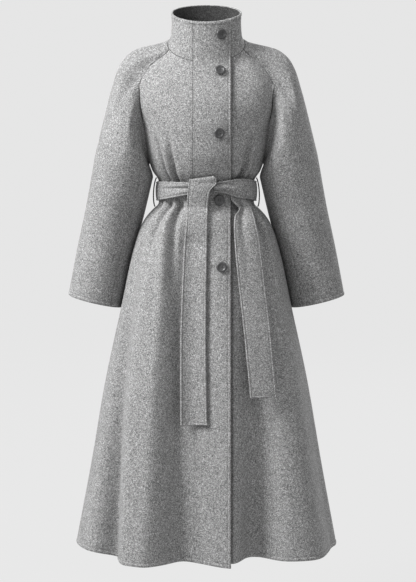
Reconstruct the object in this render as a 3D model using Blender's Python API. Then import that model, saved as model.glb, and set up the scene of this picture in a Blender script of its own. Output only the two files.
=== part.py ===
"""Long belted wool coat with a stand collar, raglan sleeves and an off-centre button placket.

Metres, +Z up, the front faces -Y. The origin is the middle of the neck at side-neck height.
"""
import math

import bpy
import numpy as np

for item in list(bpy.data.objects):
    bpy.data.objects.remove(item, do_unlink=True)

MM = 0.001

# Cloth
COAT_CLOTH = 2.5 * MM
PLACKET_CLOTH = 3.5 * MM
COLLAR_CLOTH = 4.5 * MM
BELT_CLOTH = 4.0 * MM
SEAM_GAP = 0.3 * MM
LAP_GAP = 1.5 * MM

# Main heights
COLLAR_TOP = 0.0715
NECK_SEAM = -0.008
UNDERARM = -0.305
WAIST_SEAM = -0.374
HEM = -1.272

# Placket, measured across the front
PLACKET_LINE = -32.6 * MM
LAP_EDGE = 61.0 * MM
UNDER_LAP = 6.0 * MM
LAP_FADE_TURN = 30.0

# Coat rings: height, half width, front depth, back depth (mm), tilt toward the front
COAT = (
    (COLLAR_TOP, 87.0, 72.0, 56.0, 0.34),
    (0.0450, 86.0, 71.0, 56.0, 0.39),
    (0.0150, 88.0, 72.0, 58.0, 0.48),
    (NECK_SEAM, 96.0, 75.0, 62.0, 0.57),
    (-0.0500, 150.0, 93.0, 88.0, 0.42),
    (-0.1000, 178.0, 112.0, 103.0, 0.22),
    (-0.1500, 175.0, 127.0, 110.0, 0.10),
    (-0.2100, 160.5, 133.0, 110.0, 0.03),
    (-0.2700, 150.0, 130.0, 105.0, 0.00),
    (-0.3200, 135.0, 113.0, 97.0, 0.00),
    (-0.3460, 119.5, 97.0, 89.0, 0.00),
    (-0.3740, 118.0, 95.0, 88.0, 0.00),
    (-0.4020, 119.5, 97.0, 89.0, 0.00),
    (-0.4180, 135.0, 106.0, 97.0, 0.00),
    (-0.4340, 149.0, 115.0, 108.0, 0.00),
    (-0.4590, 164.0, 125.0, 120.0, 0.00),
    (-0.5170, 183.0, 136.0, 138.0, 0.00),
    (-0.6600, 214.0, 154.0, 164.0, 0.00),
    (-0.8480, 255.0, 180.0, 194.0, 0.00),
    (-1.0700, 294.0, 206.0, 222.0, 0.00),
    (HEM, 332.0, 228.0, 246.0, 0.00),
)

# Rows of the panels, from the neck seam to the waist seam and on to the hem
BODICE_ROWS = (
    NECK_SEAM, -0.030, -0.055, -0.080, -0.105, -0.130, -0.160, -0.190, -0.220, -0.250, -0.278, UNDERARM,
    -0.320, -0.334, -0.346, -0.360, WAIST_SEAM,
)
SKIRT_ROWS = (
    WAIST_SEAM, -0.388, -0.402, -0.412, -0.424, -0.438, -0.455, -0.480, -0.515, -0.560, -0.610, -0.670,
    -0.740, -0.820, -0.900, -0.980, -1.060, -1.140, -1.210, HEM,
)
COLLAR_ROWS = (COLLAR_TOP, 0.0600, 0.0450, 0.0300, 0.0150, 0.0030, NECK_SEAM)

# Raglan seams: height, turn of the front seam, turn of the back seam (degrees from the front)
RAGLAN = (
    (NECK_SEAM, 75.0, 128.0),
    (-0.050, 70.5, 112.0),
    (-0.100, 67.5, 110.0),
    (-0.150, 69.0, 110.0),
    (-0.210, 73.0, 106.0),
    (-0.270, 79.0, 99.0),
    (UNDERARM, 90.0, 90.0),
)

# Folds: front it is on, top height, top turn, foot height, foot turn, top and foot width (degrees),
# top and foot depth (mm, outward), length over which it starts and ends, width of its +X side to the other
FOLDS = (
    ("right", -0.42, -50.0, HEM, -32.5, 10.0, 6.5, 2.0, 52.0, 0.10, 0.00, 2.1),
    ("right", -0.42, -70.0, HEM, -49.0, 8.0, 7.5, 0.0, -46.0, 0.10, 0.00, 0.8),
    ("right", -0.42, -12.0, HEM, -5.5, 13.0, 8.0, -20.0, -36.0, 0.08, 0.00, 1.5),
    ("left", -0.42, 2.0, HEM, 0.0, 13.0, 7.5, -18.0, -36.0, 0.08, 0.00, 1.0),
    ("left", -0.45, 42.0, HEM, 26.0, 8.0, 8.5, -2.0, -54.0, 0.10, 0.00, 0.75),
    ("left", -0.42, 58.0, HEM, 50.0, 10.0, 12.0, 0.0, 30.0, 0.10, 0.00, 1.0),
    ("left", -0.60, 80.0, HEM, 76.0, 7.0, 7.0, 0.0, -6.0, 0.10, 0.00, 1.0),
    ("both", -0.22, -44.0, -0.42, -36.0, 5.0, 5.0, -2.0, -9.0, 0.06, 0.03, 1.0),
    ("both", -0.23, -61.0, -0.42, -49.0, 5.0, 5.0, -1.0, -7.0, 0.06, 0.03, 1.0),
    ("both", -0.28, -79.0, -0.42, -70.0, 5.0, 5.0, -1.0, -4.0, 0.04, 0.03, 1.0),
    ("both", -0.22, 49.0, -0.42, 42.0, 5.0, 5.0, -2.0, -8.0, 0.06, 0.03, 1.0),
    ("both", -0.27, 66.0, -0.42, 54.0, 5.0, 5.0, -1.0, -6.0, 0.05, 0.03, 1.0),
    ("both", -0.31, 78.0, -0.42, 72.0, 5.0, 5.0, -1.0, -4.0, 0.03, 0.03, 1.0),
    ("both", -0.38, -32.0, -0.90, -18.0, 5.0, 4.0, -9.0, -6.0, 0.03, 0.40, 1.0),
    ("both", -0.38, -51.0, -0.66, -46.0, 5.0, 4.0, -7.0, -2.0, 0.03, 0.20, 1.0),
    ("both", -0.38, -72.0, -0.66, -66.0, 5.0, 4.0, -5.0, -1.0, 0.03, 0.20, 1.0),
    ("both", -0.38, 54.0, -0.72, 48.0, 5.0, 4.0, -8.0, -3.0, 0.03, 0.25, 1.0),
    ("both", -0.38, 72.0, -0.66, 66.0, 5.0, 4.0, -6.0, -1.0, 0.03, 0.20, 1.0),
    ("both", -0.25, 122.0, -0.80, 126.0, 8.0, 6.0, -6.0, -8.0, 0.08, 0.25, 1.0),
    ("both", -0.25, 156.0, -0.80, 154.0, 8.0, 6.0, -6.0, -8.0, 0.08, 0.25, 1.0),
    ("both", -0.25, 204.0, -0.80, 206.0, 8.0, 6.0, -6.0, -8.0, 0.08, 0.25, 1.0),
    ("both", -0.25, 238.0, -0.80, 234.0, 8.0, 6.0, -6.0, -8.0, 0.08, 0.25, 1.0),
    ("both", -0.50, 128.0, HEM, 126.0, 12.0, 12.0, 0.0, 24.0, 0.10, 0.00, 1.0),
    ("both", -0.50, 164.0, HEM, 162.0, 12.0, 12.0, 0.0, 20.0, 0.10, 0.00, 1.0),
    ("both", -0.50, 232.0, HEM, 234.0, 12.0, 12.0, 0.0, 24.0, 0.10, 0.00, 1.0),
    ("both", -0.50, 196.0, HEM, 198.0, 12.0, 12.0, 0.0, 20.0, 0.10, 0.00, 1.0),
)

# Hang of the right front's and the back's hem below its level, over the skirt's lowest stretch: turn, drop (mm)
HEM_STRETCH = 0.27
HEM_HANG = (
    (-180.0, 0.0),
    (-105.0, 0.0),
    (-80.0, -7.0),
    (-62.0, -5.0),
    (-48.0, 13.0),
    (-38.0, -5.0),
    (-26.0, -2.0),
    (-10.0, 1.0),
    (12.0, 10.0),
    (60.0, 0.0),
    (180.0, 0.0),
)

# Sleeve rings past the arm's top: station, outer x, outer z, inner x, inner z, middle y, half depth (mm)
SLEEVE = (
    (1.00, -278.0, -281.0, -134.0, -340.0, 8.0, 84.0),
    (1.40, -303.0, -412.0, -157.0, -435.0, 26.0, 77.0),
    (1.70, -326.0, -515.0, -190.0, -553.0, 38.0, 71.0),
    (2.00, -350.0, -637.0, -214.0, -669.0, 40.0, 64.0),
)
# Crown of the shoulder: station, x, y, z (mm)
CROWN = (
    (0.00, -96.0, 8.0, -8.0),
    (0.16, -130.0, 6.0, -10.0),
    (0.32, -170.0, 4.0, -18.0),
    (0.46, -200.0, 2.0, -37.0),
    (0.60, -219.0, 0.0, -66.0),
    (0.78, -238.0, 2.0, -125.0),
    (1.00, -278.0, 8.0, -281.0),
)
# Way the sleeve leaves the armhole: angle round the sleeve, direction x, y, z, reach (mm)
SLEEVE_START = (
    (0.0, -1.00, 0.00, -0.15, 330.0),
    (26.0, -0.95, 0.00, -0.30, 290.0),
    (58.0, -0.90, -0.06, -0.44, 200.0),
    (80.0, -0.68, -0.60, -0.42, 190.0),
    (100.0, -0.60, -0.70, -0.38, 190.0),
    (128.0, -0.60, -0.60, -0.53, 130.0),
    (180.0, -0.45, 0.00, -0.90, 30.0),
)
NECK_ANGLE = 26.0
SLEEVE_SEAM_ANGLE = 127.0
SLEEVE_ROWS = (0.0, 0.07, 0.15, 0.23, 0.32, 0.41, 0.50, 0.60, 0.72, 0.85, 1.0, 1.12, 1.25, 1.38, 1.5, 1.62,
               1.75, 1.88, 2.0)
# Drag hollows on the sleeve: station, angle, station width, angle width, depth (mm)
SLEEVE_HOLLOWS = (
    (0.50, 66.0, 0.28, 22.0, 4.0),
    (1.40, 110.0, 0.10, 30.0, -3.0),
)

# Belt ring at the waist (mm) and the band's edges: turn, top z, bottom z, distance off the coat (mm)
WAIST_RING = (119.5, 97.0, 89.0)
BAND = (
    (8.0, -353.0, -378.0, 7.5),
    (20.0, -350.0, -381.0, 7.5),
    (40.0, -344.0, -389.0, 8.0),
    (62.0, -345.0, -396.0, 4.5),
    (90.0, -346.0, -401.0, 1.2),
    (140.0, -345.0, -402.0, 1.2),
    (220.0, -345.0, -402.0, 1.2),
    (270.0, -346.0, -401.0, 1.2),
    (300.0, -347.0, -398.0, 3.0),
    (332.0, -349.0, -388.0, 7.0),
    (346.0, -351.0, -382.0, 7.5),
)
BAND_COLUMNS = 38

# Front tail, over the band: z, left x, right x, distance of its face off the coat, rise to the right (mm)
TAIL_FRONT = (
    (-374.0, -36.0, 14.0, 1.2, 0.0),
    (-362.0, -37.0, 15.0, 1.2, 3.0),
    (-350.0, -37.0, 16.0, 1.6, 7.0),
    (-344.5, -37.0, 17.0, 3.5, 8.0),
    (-342.0, -37.5, 17.0, 7.0, 8.0),
    (-342.0, -38.0, 17.0, 11.0, 8.0),
    (-344.5, -38.5, 16.5, 15.5, 8.0),
    (-350.0, -39.0, 15.0, 18.2, 6.0),
    (-362.0, -40.0, 10.0, 19.2, 3.0),
    (-378.0, -41.5, 6.0, 19.2, 0.0),
    (-395.0, -43.0, 4.5, 16.5, 0.0),
    (-415.0, -45.0, 3.5, 12.5, 0.0),
    (-440.0, -47.5, 2.8, 9.0, 0.0),
    (-475.0, -50.5, 2.0, 7.2, 0.0),
    (-540.0, -54.5, 0.8, 6.6, 0.0),
    (-620.0, -58.0, -0.5, 6.4, 0.0),
    (-740.0, -61.5, -1.0, 6.2, 0.0),
    (-840.0, -61.5, 0.0, 6.0, 0.0),
    (-929.0, -61.0, 2.0, 6.0, 2.0),
)
# Side tail, from behind the band: z, left x, right x, face off the coat, pleat depth, lift of its right edge (mm)
TAIL_SIDE = (
    (-368.0, 58.0, 80.0, 8.0, 0.0, 0.0),
    (-386.0, 58.0, 82.0, 7.4, 0.8, 0.0),
    (-400.0, 63.0, 91.0, 7.8, 2.0, 2.0),
    (-412.0, 64.0, 98.0, 9.2, 4.0, 4.0),
    (-426.0, 63.0, 104.0, 10.5, 5.5, 6.0),
    (-450.0, 63.0, 110.0, 10.5, 4.5, 9.0),
    (-480.0, 65.5, 116.5, 9.0, 3.0, 12.0),
    (-530.0, 70.0, 124.0, 7.6, 1.5, 14.0),
    (-611.0, 79.0, 134.5, 6.8, 0.5, 15.0),
    (-700.0, 88.5, 144.5, 6.4, 0.0, 15.0),
    (-780.0, 96.5, 153.0, 6.2, 0.0, 14.0),
    (-858.0, 104.0, 161.0, 6.0, 0.0, 13.0),
)
TAIL_COLUMNS = 5

# Belt loops at the side seams
LOOP_TOP = -0.3385
LOOP_FOOT = -0.4105
LOOP_WIDTH = 5.0 * MM
LOOP_CLOTH = 2.2 * MM
LOOP_BULGE = 8.5 * MM
LOOP_ROWS = 15

# Buttons: x and z of the middle on the placket, play between its back and the cloth (mm)
BUTTONS = (
    (36.0, 16.7, 0.3),
    (33.0, -73.1, 0.8),
    (30.6, -222.4, 0.3),
    (31.0, -388.0, 0.8),
    (37.6, -549.0, 0.3),
)
BUTTON_SIDES = 18
# Button section from the middle of its back to the middle of its face: radius, height (mm)
BUTTON_SECTION = (
    (0.0, 0.0), (10.5, 0.0), (12.6, 1.2), (13.0, 2.4), (12.4, 3.9),
    (11.0, 4.5), (9.4, 4.1), (8.2, 2.9), (0.0, 2.5),
)

# Looks of the cloth and the buttons
WOOL_COLOUR = (0.23, 0.235, 0.24)
HORN_COLOUR = (0.05, 0.05, 0.055)


def smooth(table, column, at):
    """Smooth value of one column of a table, its first column being the place along it."""
    rows = sorted(table)
    place = np.array([row[0] for row in rows])
    value = np.array([row[column] for row in rows])
    step = np.diff(place)
    rise = np.diff(value) / step
    slope = np.zeros(len(value))
    slope[0] = rise[0]
    slope[-1] = rise[-1]
    for k in range(1, len(value) - 1):
        if rise[k - 1] * rise[k] > 0.0:
            before = 2.0 * step[k] + step[k - 1]
            after = step[k] + 2.0 * step[k - 1]
            slope[k] = (before + after) / (before / rise[k - 1] + after / rise[k])
    at = np.asarray(at, float)
    k = np.clip(np.searchsorted(place, at) - 1, 0, len(step) - 1)
    t = (at - place[k]) / step[k]
    return (value[k] * (1 + 2 * t) * (1 - t) ** 2 + step[k] * slope[k] * t * (1 - t) ** 2
            + value[k + 1] * t * t * (3 - 2 * t) + step[k] * slope[k + 1] * t * t * (t - 1))


def ease(t):
    t = np.clip(t, 0.0, 1.0)
    return t * t * (3.0 - 2.0 * t)


def wrapped(angle):
    """The same angle between -180 and 180 degrees."""
    return (angle + 180.0) % 360.0 - 180.0


def folds(turn, height, front):
    """Outward push of the folds at the turns and heights given."""
    push = np.zeros(np.broadcast(turn, height).shape)
    if front == "plain":
        return push
    for fold in FOLDS:
        side, top, top_turn, foot, foot_turn, top_wide, foot_wide, top_deep, foot_deep, start, end, skew = fold
        if side not in ("both", front):
            continue
        along = np.clip((top - height) / (top - foot), 0.0, 1.0)
        middle = top_turn + (foot_turn - top_turn) * along
        wide = top_wide + (foot_wide - top_wide) * along
        deep = (top_deep + (foot_deep - top_deep) * along) * MM
        deep = deep * ease((top - height) / start)
        if end > 0.0:
            deep = deep * ease((height - foot) / end)
        away = wrapped(turn - middle)
        wide = np.where(away > 0.0, wide * skew, wide)
        push = push + deep * np.exp(-((away / wide) ** 2))
    return push


def ring(turn, height, front):
    """Outer face of the coat's body and collar with the folds of one front."""
    half = smooth(COAT, 1, height) * MM
    ahead = smooth(COAT, 2, height) * MM
    behind = smooth(COAT, 3, height) * MM
    tilt = smooth(COAT, 4, height)
    s = np.sin(np.radians(turn))
    c = np.cos(np.radians(turn))
    deep = np.where(c > 0.0, ahead, behind)
    length = np.hypot(s / half, c / deep)
    push = folds(turn, height, front)
    x = half * s + push * s / half / length
    y = -deep * c - push * c / deep / length
    low = ease((HEM + HEM_STRETCH - height) / HEM_STRETCH)
    hang = 0.0 if front == "left" else smooth(HEM_HANG, 1, wrapped(turn)) * MM * low
    return np.stack([x, y, height + tilt * y - hang], axis=-1)


def coat(turn, height, front="right"):
    """Outer face of the coat; the left front steps in beneath the placket."""
    turn, height = np.broadcast_arrays(np.asarray(turn, float), np.asarray(height, float))
    if front != "left":
        return ring(turn, height, front)
    points, out = with_normals(lambda u, v: ring(u, v, front), turn, height, 0.05, 0.0004)
    lap = np.degrees(np.arcsin(LAP_EDGE / (smooth(COAT, 1, height) * MM)))
    under = 1.0 - ease((turn - lap - 2.0) / LAP_FADE_TURN)
    drop = (PLACKET_CLOTH + LAP_GAP) * np.where(turn < 180.0, under, 0.0)
    return points - out * drop[..., None]


def turn_at(x, height):
    """Turn of the coat's ring where it lies at x, on the front."""
    return np.degrees(np.arcsin(np.clip(np.asarray(x) / (smooth(COAT, 1, height) * MM), -1.0, 1.0)))


def place_on_coat(x, z, front="right"):
    """Turn and height of the outer face at x and z, on the front."""
    x, z = np.broadcast_arrays(np.asarray(x, float), np.asarray(z, float))
    height = np.array(z)
    aim = np.array(x)
    for _ in range(12):
        turn = turn_at(aim, height)
        found = coat(turn, height, front)
        aim = aim + (x - found[..., 0])
        height = height + (z - found[..., 2])
    return turn, height


def with_normals(surface, u, v, step_u, step_v):
    """Points of a surface and their outward normals."""
    across = surface(u + step_u, v) - surface(u - step_u, v)
    along = surface(u, v + step_v) - surface(u, v - step_v)
    normal = np.cross(across, along)
    normal = normal / np.linalg.norm(normal, axis=-1, keepdims=True)
    return surface(u, v), normal


def grid_normals(points):
    """Normals of a grid of points whose columns run to the right and rows run down."""
    along = -np.gradient(points, axis=0)
    across = np.gradient(points, axis=1)
    normal = np.cross(across, along)
    return normal / np.linalg.norm(normal, axis=-1, keepdims=True)


def material(name, colour, rough):
    made = bpy.data.materials.new(name)
    made.use_nodes = True
    shader = made.node_tree.nodes["Principled BSDF"]
    shader.inputs["Base Color"].default_value = (*colour, 1.0)
    shader.inputs["Roughness"].default_value = rough
    return made


def solid(name, vertices, faces, colour, rough):
    """A named closed body whose faces look outward."""
    vertices = np.asarray(vertices, float)
    volume = 0.0
    for face in faces:
        for k in range(1, len(face) - 1):
            a, b, c = vertices[face[0]], vertices[face[k]], vertices[face[k + 1]]
            volume += float(np.dot(a, np.cross(b, c)))
    if volume < 0.0:
        faces = [tuple(reversed(face)) for face in faces]
    mesh = bpy.data.meshes.new(name)
    mesh.from_pydata([tuple(v) for v in vertices], [], [tuple(face) for face in faces])
    mesh.update()
    body = bpy.data.objects.new(name, mesh)
    bpy.context.scene.collection.objects.link(body)
    mesh.materials.append(material(name + "_look", colour, rough))
    return body


def shell(name, outer, inner, colour=WOOL_COLOUR):
    """A wall between two grids of points, closed at its four edges."""
    rows, columns = outer.shape[:2]
    vertices = np.concatenate([outer.reshape(-1, 3), inner.reshape(-1, 3)])
    shift = rows * columns
    faces = []
    for i in range(rows - 1):
        for j in range(columns - 1):
            a = i * columns + j
            b, c, d = a + 1, a + columns + 1, a + columns
            faces.append((a, b, c))
            faces.append((a, c, d))
            faces.append((a + shift, c + shift, b + shift))
            faces.append((a + shift, d + shift, c + shift))
    edge = [j for j in range(columns)]
    edge += [i * columns + columns - 1 for i in range(1, rows)]
    edge += [(rows - 1) * columns + j for j in range(columns - 2, -1, -1)]
    edge += [i * columns for i in range(rows - 2, 0, -1)]
    for k, a in enumerate(edge):
        b = edge[(k + 1) % len(edge)]
        faces.append((b, a, a + shift))
        faces.append((b, a + shift, b + shift))
    return solid(name, vertices, faces, colour, 0.9)


def panel(name, left, right, heights, columns, thickness, front="right"):
    """A piece of the coat between two edges given as turns, one for each row."""
    share = np.linspace(0.0, 1.0, columns + 1)
    return coat_piece(name, left[:, None] + (right - left)[:, None] * share, heights, thickness, front)


def coat_piece(name, turn, heights, thickness, front):
    """A piece of the coat given as a grid of turns, a row for each height."""
    height = np.repeat(np.array(heights)[:, None], turn.shape[1], axis=1)
    outer, normal = with_normals(lambda u, v: coat(u, v, front), turn, height, 0.05, 0.0004)
    return shell(name, outer, outer - normal * thickness)


def ring_gap(heights):
    """Half a seam gap, as a turn."""
    return np.degrees(0.5 * SEAM_GAP / (smooth(COAT, 1, heights) * MM))


def raglan_turn(heights, column):
    """Turn of a raglan seam, and of the side seam below the arm."""
    heights = np.asarray(heights)
    return np.where(heights < UNDERARM, 90.0, smooth(RAGLAN, column, np.maximum(heights, UNDERARM)))


def make_body():
    bodice = np.array(BODICE_ROWS)
    bodice[0] -= 0.5 * SEAM_GAP
    bodice[-1] += 0.5 * SEAM_GAP
    skirt = np.array(SKIRT_ROWS)
    skirt[0] -= 0.5 * SEAM_GAP
    for rows, names in ((bodice, ("front_right", "front_left", "back")),
                        (skirt, ("skirt_right", "skirt_left", "skirt_back"))):
        gap = ring_gap(rows)
        half = smooth(COAT, 1, rows) * MM
        front_edge = raglan_turn(rows, 1)
        back_edge = raglan_turn(rows, 2)
        line = np.degrees(np.arcsin((PLACKET_LINE - 0.5 * SEAM_GAP) / half))
        panel(names[0], -front_edge + gap, line, rows, 20, COAT_CLOTH)
        under = np.degrees(np.arcsin(UNDER_LAP / half))
        panel(names[1], under, front_edge - gap, rows, 20, COAT_CLOTH, "left")
        panel(names[2], back_edge + gap, 360.0 - back_edge - gap, rows, 18, COAT_CLOTH, "back")


def make_placket():
    rows = np.array(COLLAR_ROWS[:-1] + BODICE_ROWS + SKIRT_ROWS[1:])
    half = smooth(COAT, 1, rows) * MM
    line = np.degrees(np.arcsin((PLACKET_LINE + 0.5 * SEAM_GAP) / half))
    edge = np.degrees(np.arcsin(LAP_EDGE / half))
    panel("placket", line, edge, rows, 5, PLACKET_CLOTH)


def make_collar():
    rows = np.array(COLLAR_ROWS)
    rows[-1] += 2.0 * SEAM_GAP
    half = smooth(COAT, 1, rows) * MM
    line = 360.0 + np.degrees(np.arcsin((PLACKET_LINE - 0.5 * SEAM_GAP) / half))
    under = np.degrees(np.arcsin(UNDER_LAP / half))
    front, back = RAGLAN[0][1:]
    runs = ((under, front, 7), (front, back, 4), (back, 360.0 - back, 8), (360.0 - back, 360.0 - front, 4),
            (360.0 - front, line, 5))
    turns = [under[:, None]]
    for first, last, count in runs:
        share = np.linspace(0.0, 1.0, count + 1)[1:]
        first = np.broadcast_to(first, under.shape)[:, None]
        turns.append(first + (np.broadcast_to(last, under.shape)[:, None] - first) * share)
    coat_piece("collar", np.concatenate(turns, axis=1), rows, COLLAR_CLOTH, "left")


def armhole(angle):
    """Turn and height on the armhole and the neck's side, by angle round the sleeve (0 on the shoulder)."""
    angle = wrapped(angle)
    share = np.clip((np.abs(angle) - NECK_ANGLE) / (180.0 - NECK_ANGLE), 0.0, 1.0)
    height = NECK_SEAM + (UNDERARM - NECK_SEAM) * share
    front = raglan_turn(height, 1)
    back = raglan_turn(height, 2)
    across = np.clip(0.5 + 0.5 * angle / NECK_ANGLE, 0.0, 1.0)
    turn = np.where(share > 0.0, np.where(angle > 0.0, front, back), back + (front - back) * across)
    return -turn, height


def armhole_point(angle):
    return coat(*armhole(angle), "seam")


def sleeve_ring(station, angle):
    sizes = [smooth(SLEEVE, k, station) * MM for k in range(1, 7)]
    outer_x, outer_z, inner_x, inner_z, middle_y, depth = sizes
    c = np.cos(np.radians(angle))
    s = np.sin(np.radians(angle))
    x = 0.5 * (outer_x + inner_x) + 0.5 * (outer_x - inner_x) * c
    z = 0.5 * (outer_z + inner_z) + 0.5 * (outer_z - inner_z) * c
    return np.stack([x, middle_y - depth * s, z], axis=-1)


def sleeve_start(angle):
    """Direction and reach in which the sleeve leaves the armhole."""
    angle = wrapped(angle)
    size = np.abs(angle)
    side = np.where(angle < 0.0, -1.0, 1.0)
    way = np.stack([smooth(SLEEVE_START, 1, size), side * smooth(SLEEVE_START, 2, size),
                    smooth(SLEEVE_START, 3, size)], axis=-1)
    way = way / np.linalg.norm(way, axis=-1, keepdims=True)
    return way, smooth(SLEEVE_START, 4, size)[..., None] * MM


def shoulder(station, angle):
    """The sleeve's top, from the armhole to the upper arm."""
    way, reach = sleeve_start(angle)
    start = armhole_point(angle) + way * 1.3 * SEAM_GAP
    end = sleeve_ring(np.ones_like(station), angle)
    step = 0.01
    lead = (sleeve_ring(np.full_like(station, 1.0 + step), angle) - end) / step
    lead = lead / np.linalg.norm(lead, axis=-1, keepdims=True) * reach * 1.1
    t = station[..., None]
    return (start * (1 + 2 * t) * (1 - t) ** 2 + way * reach * t * (1 - t) ** 2
            + end * t * t * (3 - 2 * t) + lead * t * t * (t - 1))


def sleeve(angle, station):
    """Outer face of the right sleeve (on the -X side); angle 0 is its outside, 90 its front."""
    angle, station = np.broadcast_arrays(np.asarray(angle, float), np.asarray(station, float))
    angle = wrapped(angle)
    up = np.clip(station, 0.0, 1.0)
    top = shoulder(up, angle)
    crown = np.stack([smooth(CROWN, k, up) * MM for k in (1, 2, 3)], axis=-1)
    held = np.clip(np.cos(np.radians(angle)), 0.0, 1.0)[..., None] ** 1.5
    off = crown - shoulder(up, np.zeros_like(angle))
    top = top + off * held * ease(up / 0.12)[..., None]
    points = np.where((station > 1.0)[..., None], sleeve_ring(np.maximum(station, 1.0), angle), top)
    push = np.zeros(station.shape)
    for at, middle, long, wide, deep in SLEEVE_HOLLOWS:
        push = push + deep * MM * np.exp(-((station - at) / long) ** 2 - ((angle - middle) / wide) ** 2)
    push = push * ease(station / 0.12)
    c = np.cos(np.radians(angle))
    aim = np.stack([-c, -np.sin(np.radians(angle)), 0.25 * c], axis=-1)
    return points + aim * push[..., None]


def sleeve_piece(name, angles, mirror):
    station = np.repeat(np.array(SLEEVE_ROWS)[:, None], len(angles), axis=1)
    angle = np.repeat(np.array(angles)[None, :], len(SLEEVE_ROWS), axis=0)
    outer = sleeve(angle, station)
    inward = -sleeve_normals(angle, station) * COAT_CLOTH
    inward[0] = armhole_edge(angle[0], inward[0])
    inner = outer + inward
    if mirror:
        outer = outer * (-1.0, 1.0, 1.0)
        inner = inner * (-1.0, 1.0, 1.0)
    return shell(name, outer, inner)


def sleeve_normals(angle, station):
    """Outward normals of the sleeve."""
    near = np.clip(station, 0.004, 1.996)
    across = sleeve(angle + 0.2, near) - sleeve(angle - 0.2, near)
    along = sleeve(angle, near + 0.004) - sleeve(angle, near - 0.004)
    normal = np.cross(along, across)
    return normal / np.linalg.norm(normal, axis=-1, keepdims=True)


def armhole_edge(angle, inward):
    """The sleeve's wall at the armhole, kept on its own side of the seam."""
    seam = armhole_point(angle + 0.2) - armhole_point(angle - 0.2)
    _, out = with_normals(lambda u, v: coat(u, v, "seam"), *armhole(angle), 0.05, 0.0004)
    away = np.cross(seam, out)
    away = away / np.linalg.norm(away, axis=-1, keepdims=True)
    way, _ = sleeve_start(angle)
    away = away * np.sign(np.sum(away * way, axis=-1, keepdims=True))
    back = np.minimum(np.sum(inward * away, axis=-1, keepdims=True), 0.0)
    return inward - away * back


def make_sleeves():
    gap = 0.2
    edge = SLEEVE_SEAM_ANGLE - gap
    low = SLEEVE_SEAM_ANGLE + gap
    level = np.array([row for row in BODICE_ROWS if row > UNDERARM])
    seam = NECK_ANGLE + (180.0 - NECK_ANGLE) * (level - NECK_SEAM) / (UNDERARM - NECK_SEAM)
    front = [angle for angle in seam if angle < edge - 3.0]
    top = [-edge] + [-angle for angle in reversed(front)] + [-13.0, 0.0, 13.0] + front + [edge]
    front = [angle for angle in seam if angle > low + 3.0]
    under = [low] + front + [180.0] + [360.0 - angle for angle in reversed(front)] + [360.0 - low]
    for side, mirror in (("right", False), ("left", True)):
        sleeve_piece("sleeve_" + side + "_top", top, mirror)
        sleeve_piece("sleeve_" + side + "_under", under, mirror)


def band_point(turn, z, off):
    """Point of the belt's outer face, at a distance off the waist's ring."""
    half, ahead, behind = [size * MM for size in WAIST_RING]
    s = np.sin(np.radians(turn))
    c = np.cos(np.radians(turn))
    deep = np.where(c > 0.0, ahead, behind)
    length = np.hypot(s / half, c / deep)
    return np.stack([half * s + off * s / half / length, -deep * c - off * c / deep / length, z], axis=-1)


def make_band():
    turn = np.linspace(BAND[0][0], BAND[-1][0], BAND_COLUMNS + 1)
    top = smooth(BAND, 1, turn) * MM
    foot = smooth(BAND, 2, turn) * MM
    off = smooth(BAND, 3, turn) * MM
    share = np.linspace(0.0, 1.0, 4)[:, None]
    z = top + (foot - top) * share
    turns = np.repeat(turn[None, :], 4, axis=0)
    inner = band_point(turns, z, off + 0.0 * z)
    outer = band_point(turns, z, off + BELT_CLOTH + 0.0 * z)
    return shell("belt_band", outer, inner)


def off_coat(x, z, lift, front):
    """Points level with the coat's face at x and z, moved out from it."""
    turn, height = place_on_coat(x, z, front)
    base, out = with_normals(lambda u, v: coat(u, v, front), turn, height, 0.05, 0.0004)
    level = out * (1.0, 1.0, 0.0)
    return base + level / np.linalg.norm(level, axis=-1, keepdims=True) * lift[..., None]


def make_tails():
    share = np.linspace(0.0, 1.0, TAIL_COLUMNS + 1)
    rows = np.array(TAIL_FRONT) * MM
    x = rows[:, 1:2] + (rows[:, 2:3] - rows[:, 1:2]) * share
    z = rows[:, 0:1] + rows[:, 4:5] * share
    lift = np.repeat(rows[:, 3:4], TAIL_COLUMNS + 1, axis=1)
    outer = off_coat(x, z, lift, "right")
    shell("belt_tail_front", outer, outer - grid_normals(outer) * BELT_CLOTH)
    rows = np.array(TAIL_SIDE) * MM
    x = rows[:, 1:2] + (rows[:, 2:3] - rows[:, 1:2]) * share
    z = np.repeat(rows[:, 0:1], TAIL_COLUMNS + 1, axis=1)
    pleat = np.exp(-((share - 0.5) / 0.22) ** 2)
    lift = rows[:, 3:4] - rows[:, 4:5] * pleat + rows[:, 5:6] * share
    outer = off_coat(x, z, lift, "plain")
    shell("belt_tail_side", outer, outer - grid_normals(outer) * BELT_CLOTH)


def make_loops():
    share = np.linspace(0.0, 1.0, LOOP_ROWS)
    z = LOOP_TOP + (LOOP_FOOT - LOOP_TOP) * share
    ends = coat(90.0, np.array([LOOP_TOP, LOOP_FOOT]), "seam")[:, 0] + SEAM_GAP + LOOP_CLOTH
    x = ends[0] + (ends[1] - ends[0]) * share + LOOP_BULGE * np.sqrt(np.sin(math.pi * share))
    for side, sign in (("right", -1.0), ("left", 1.0)):
        outer = np.zeros((LOOP_ROWS, 2, 3))
        outer[:, :, 0] = sign * x[:, None]
        outer[:, :, 1] = np.array([-0.5, 0.5]) * LOOP_WIDTH * sign
        outer[:, :, 2] = z[:, None]
        shell("belt_loop_" + side, outer, outer - grid_normals(outer) * LOOP_CLOTH)


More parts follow.
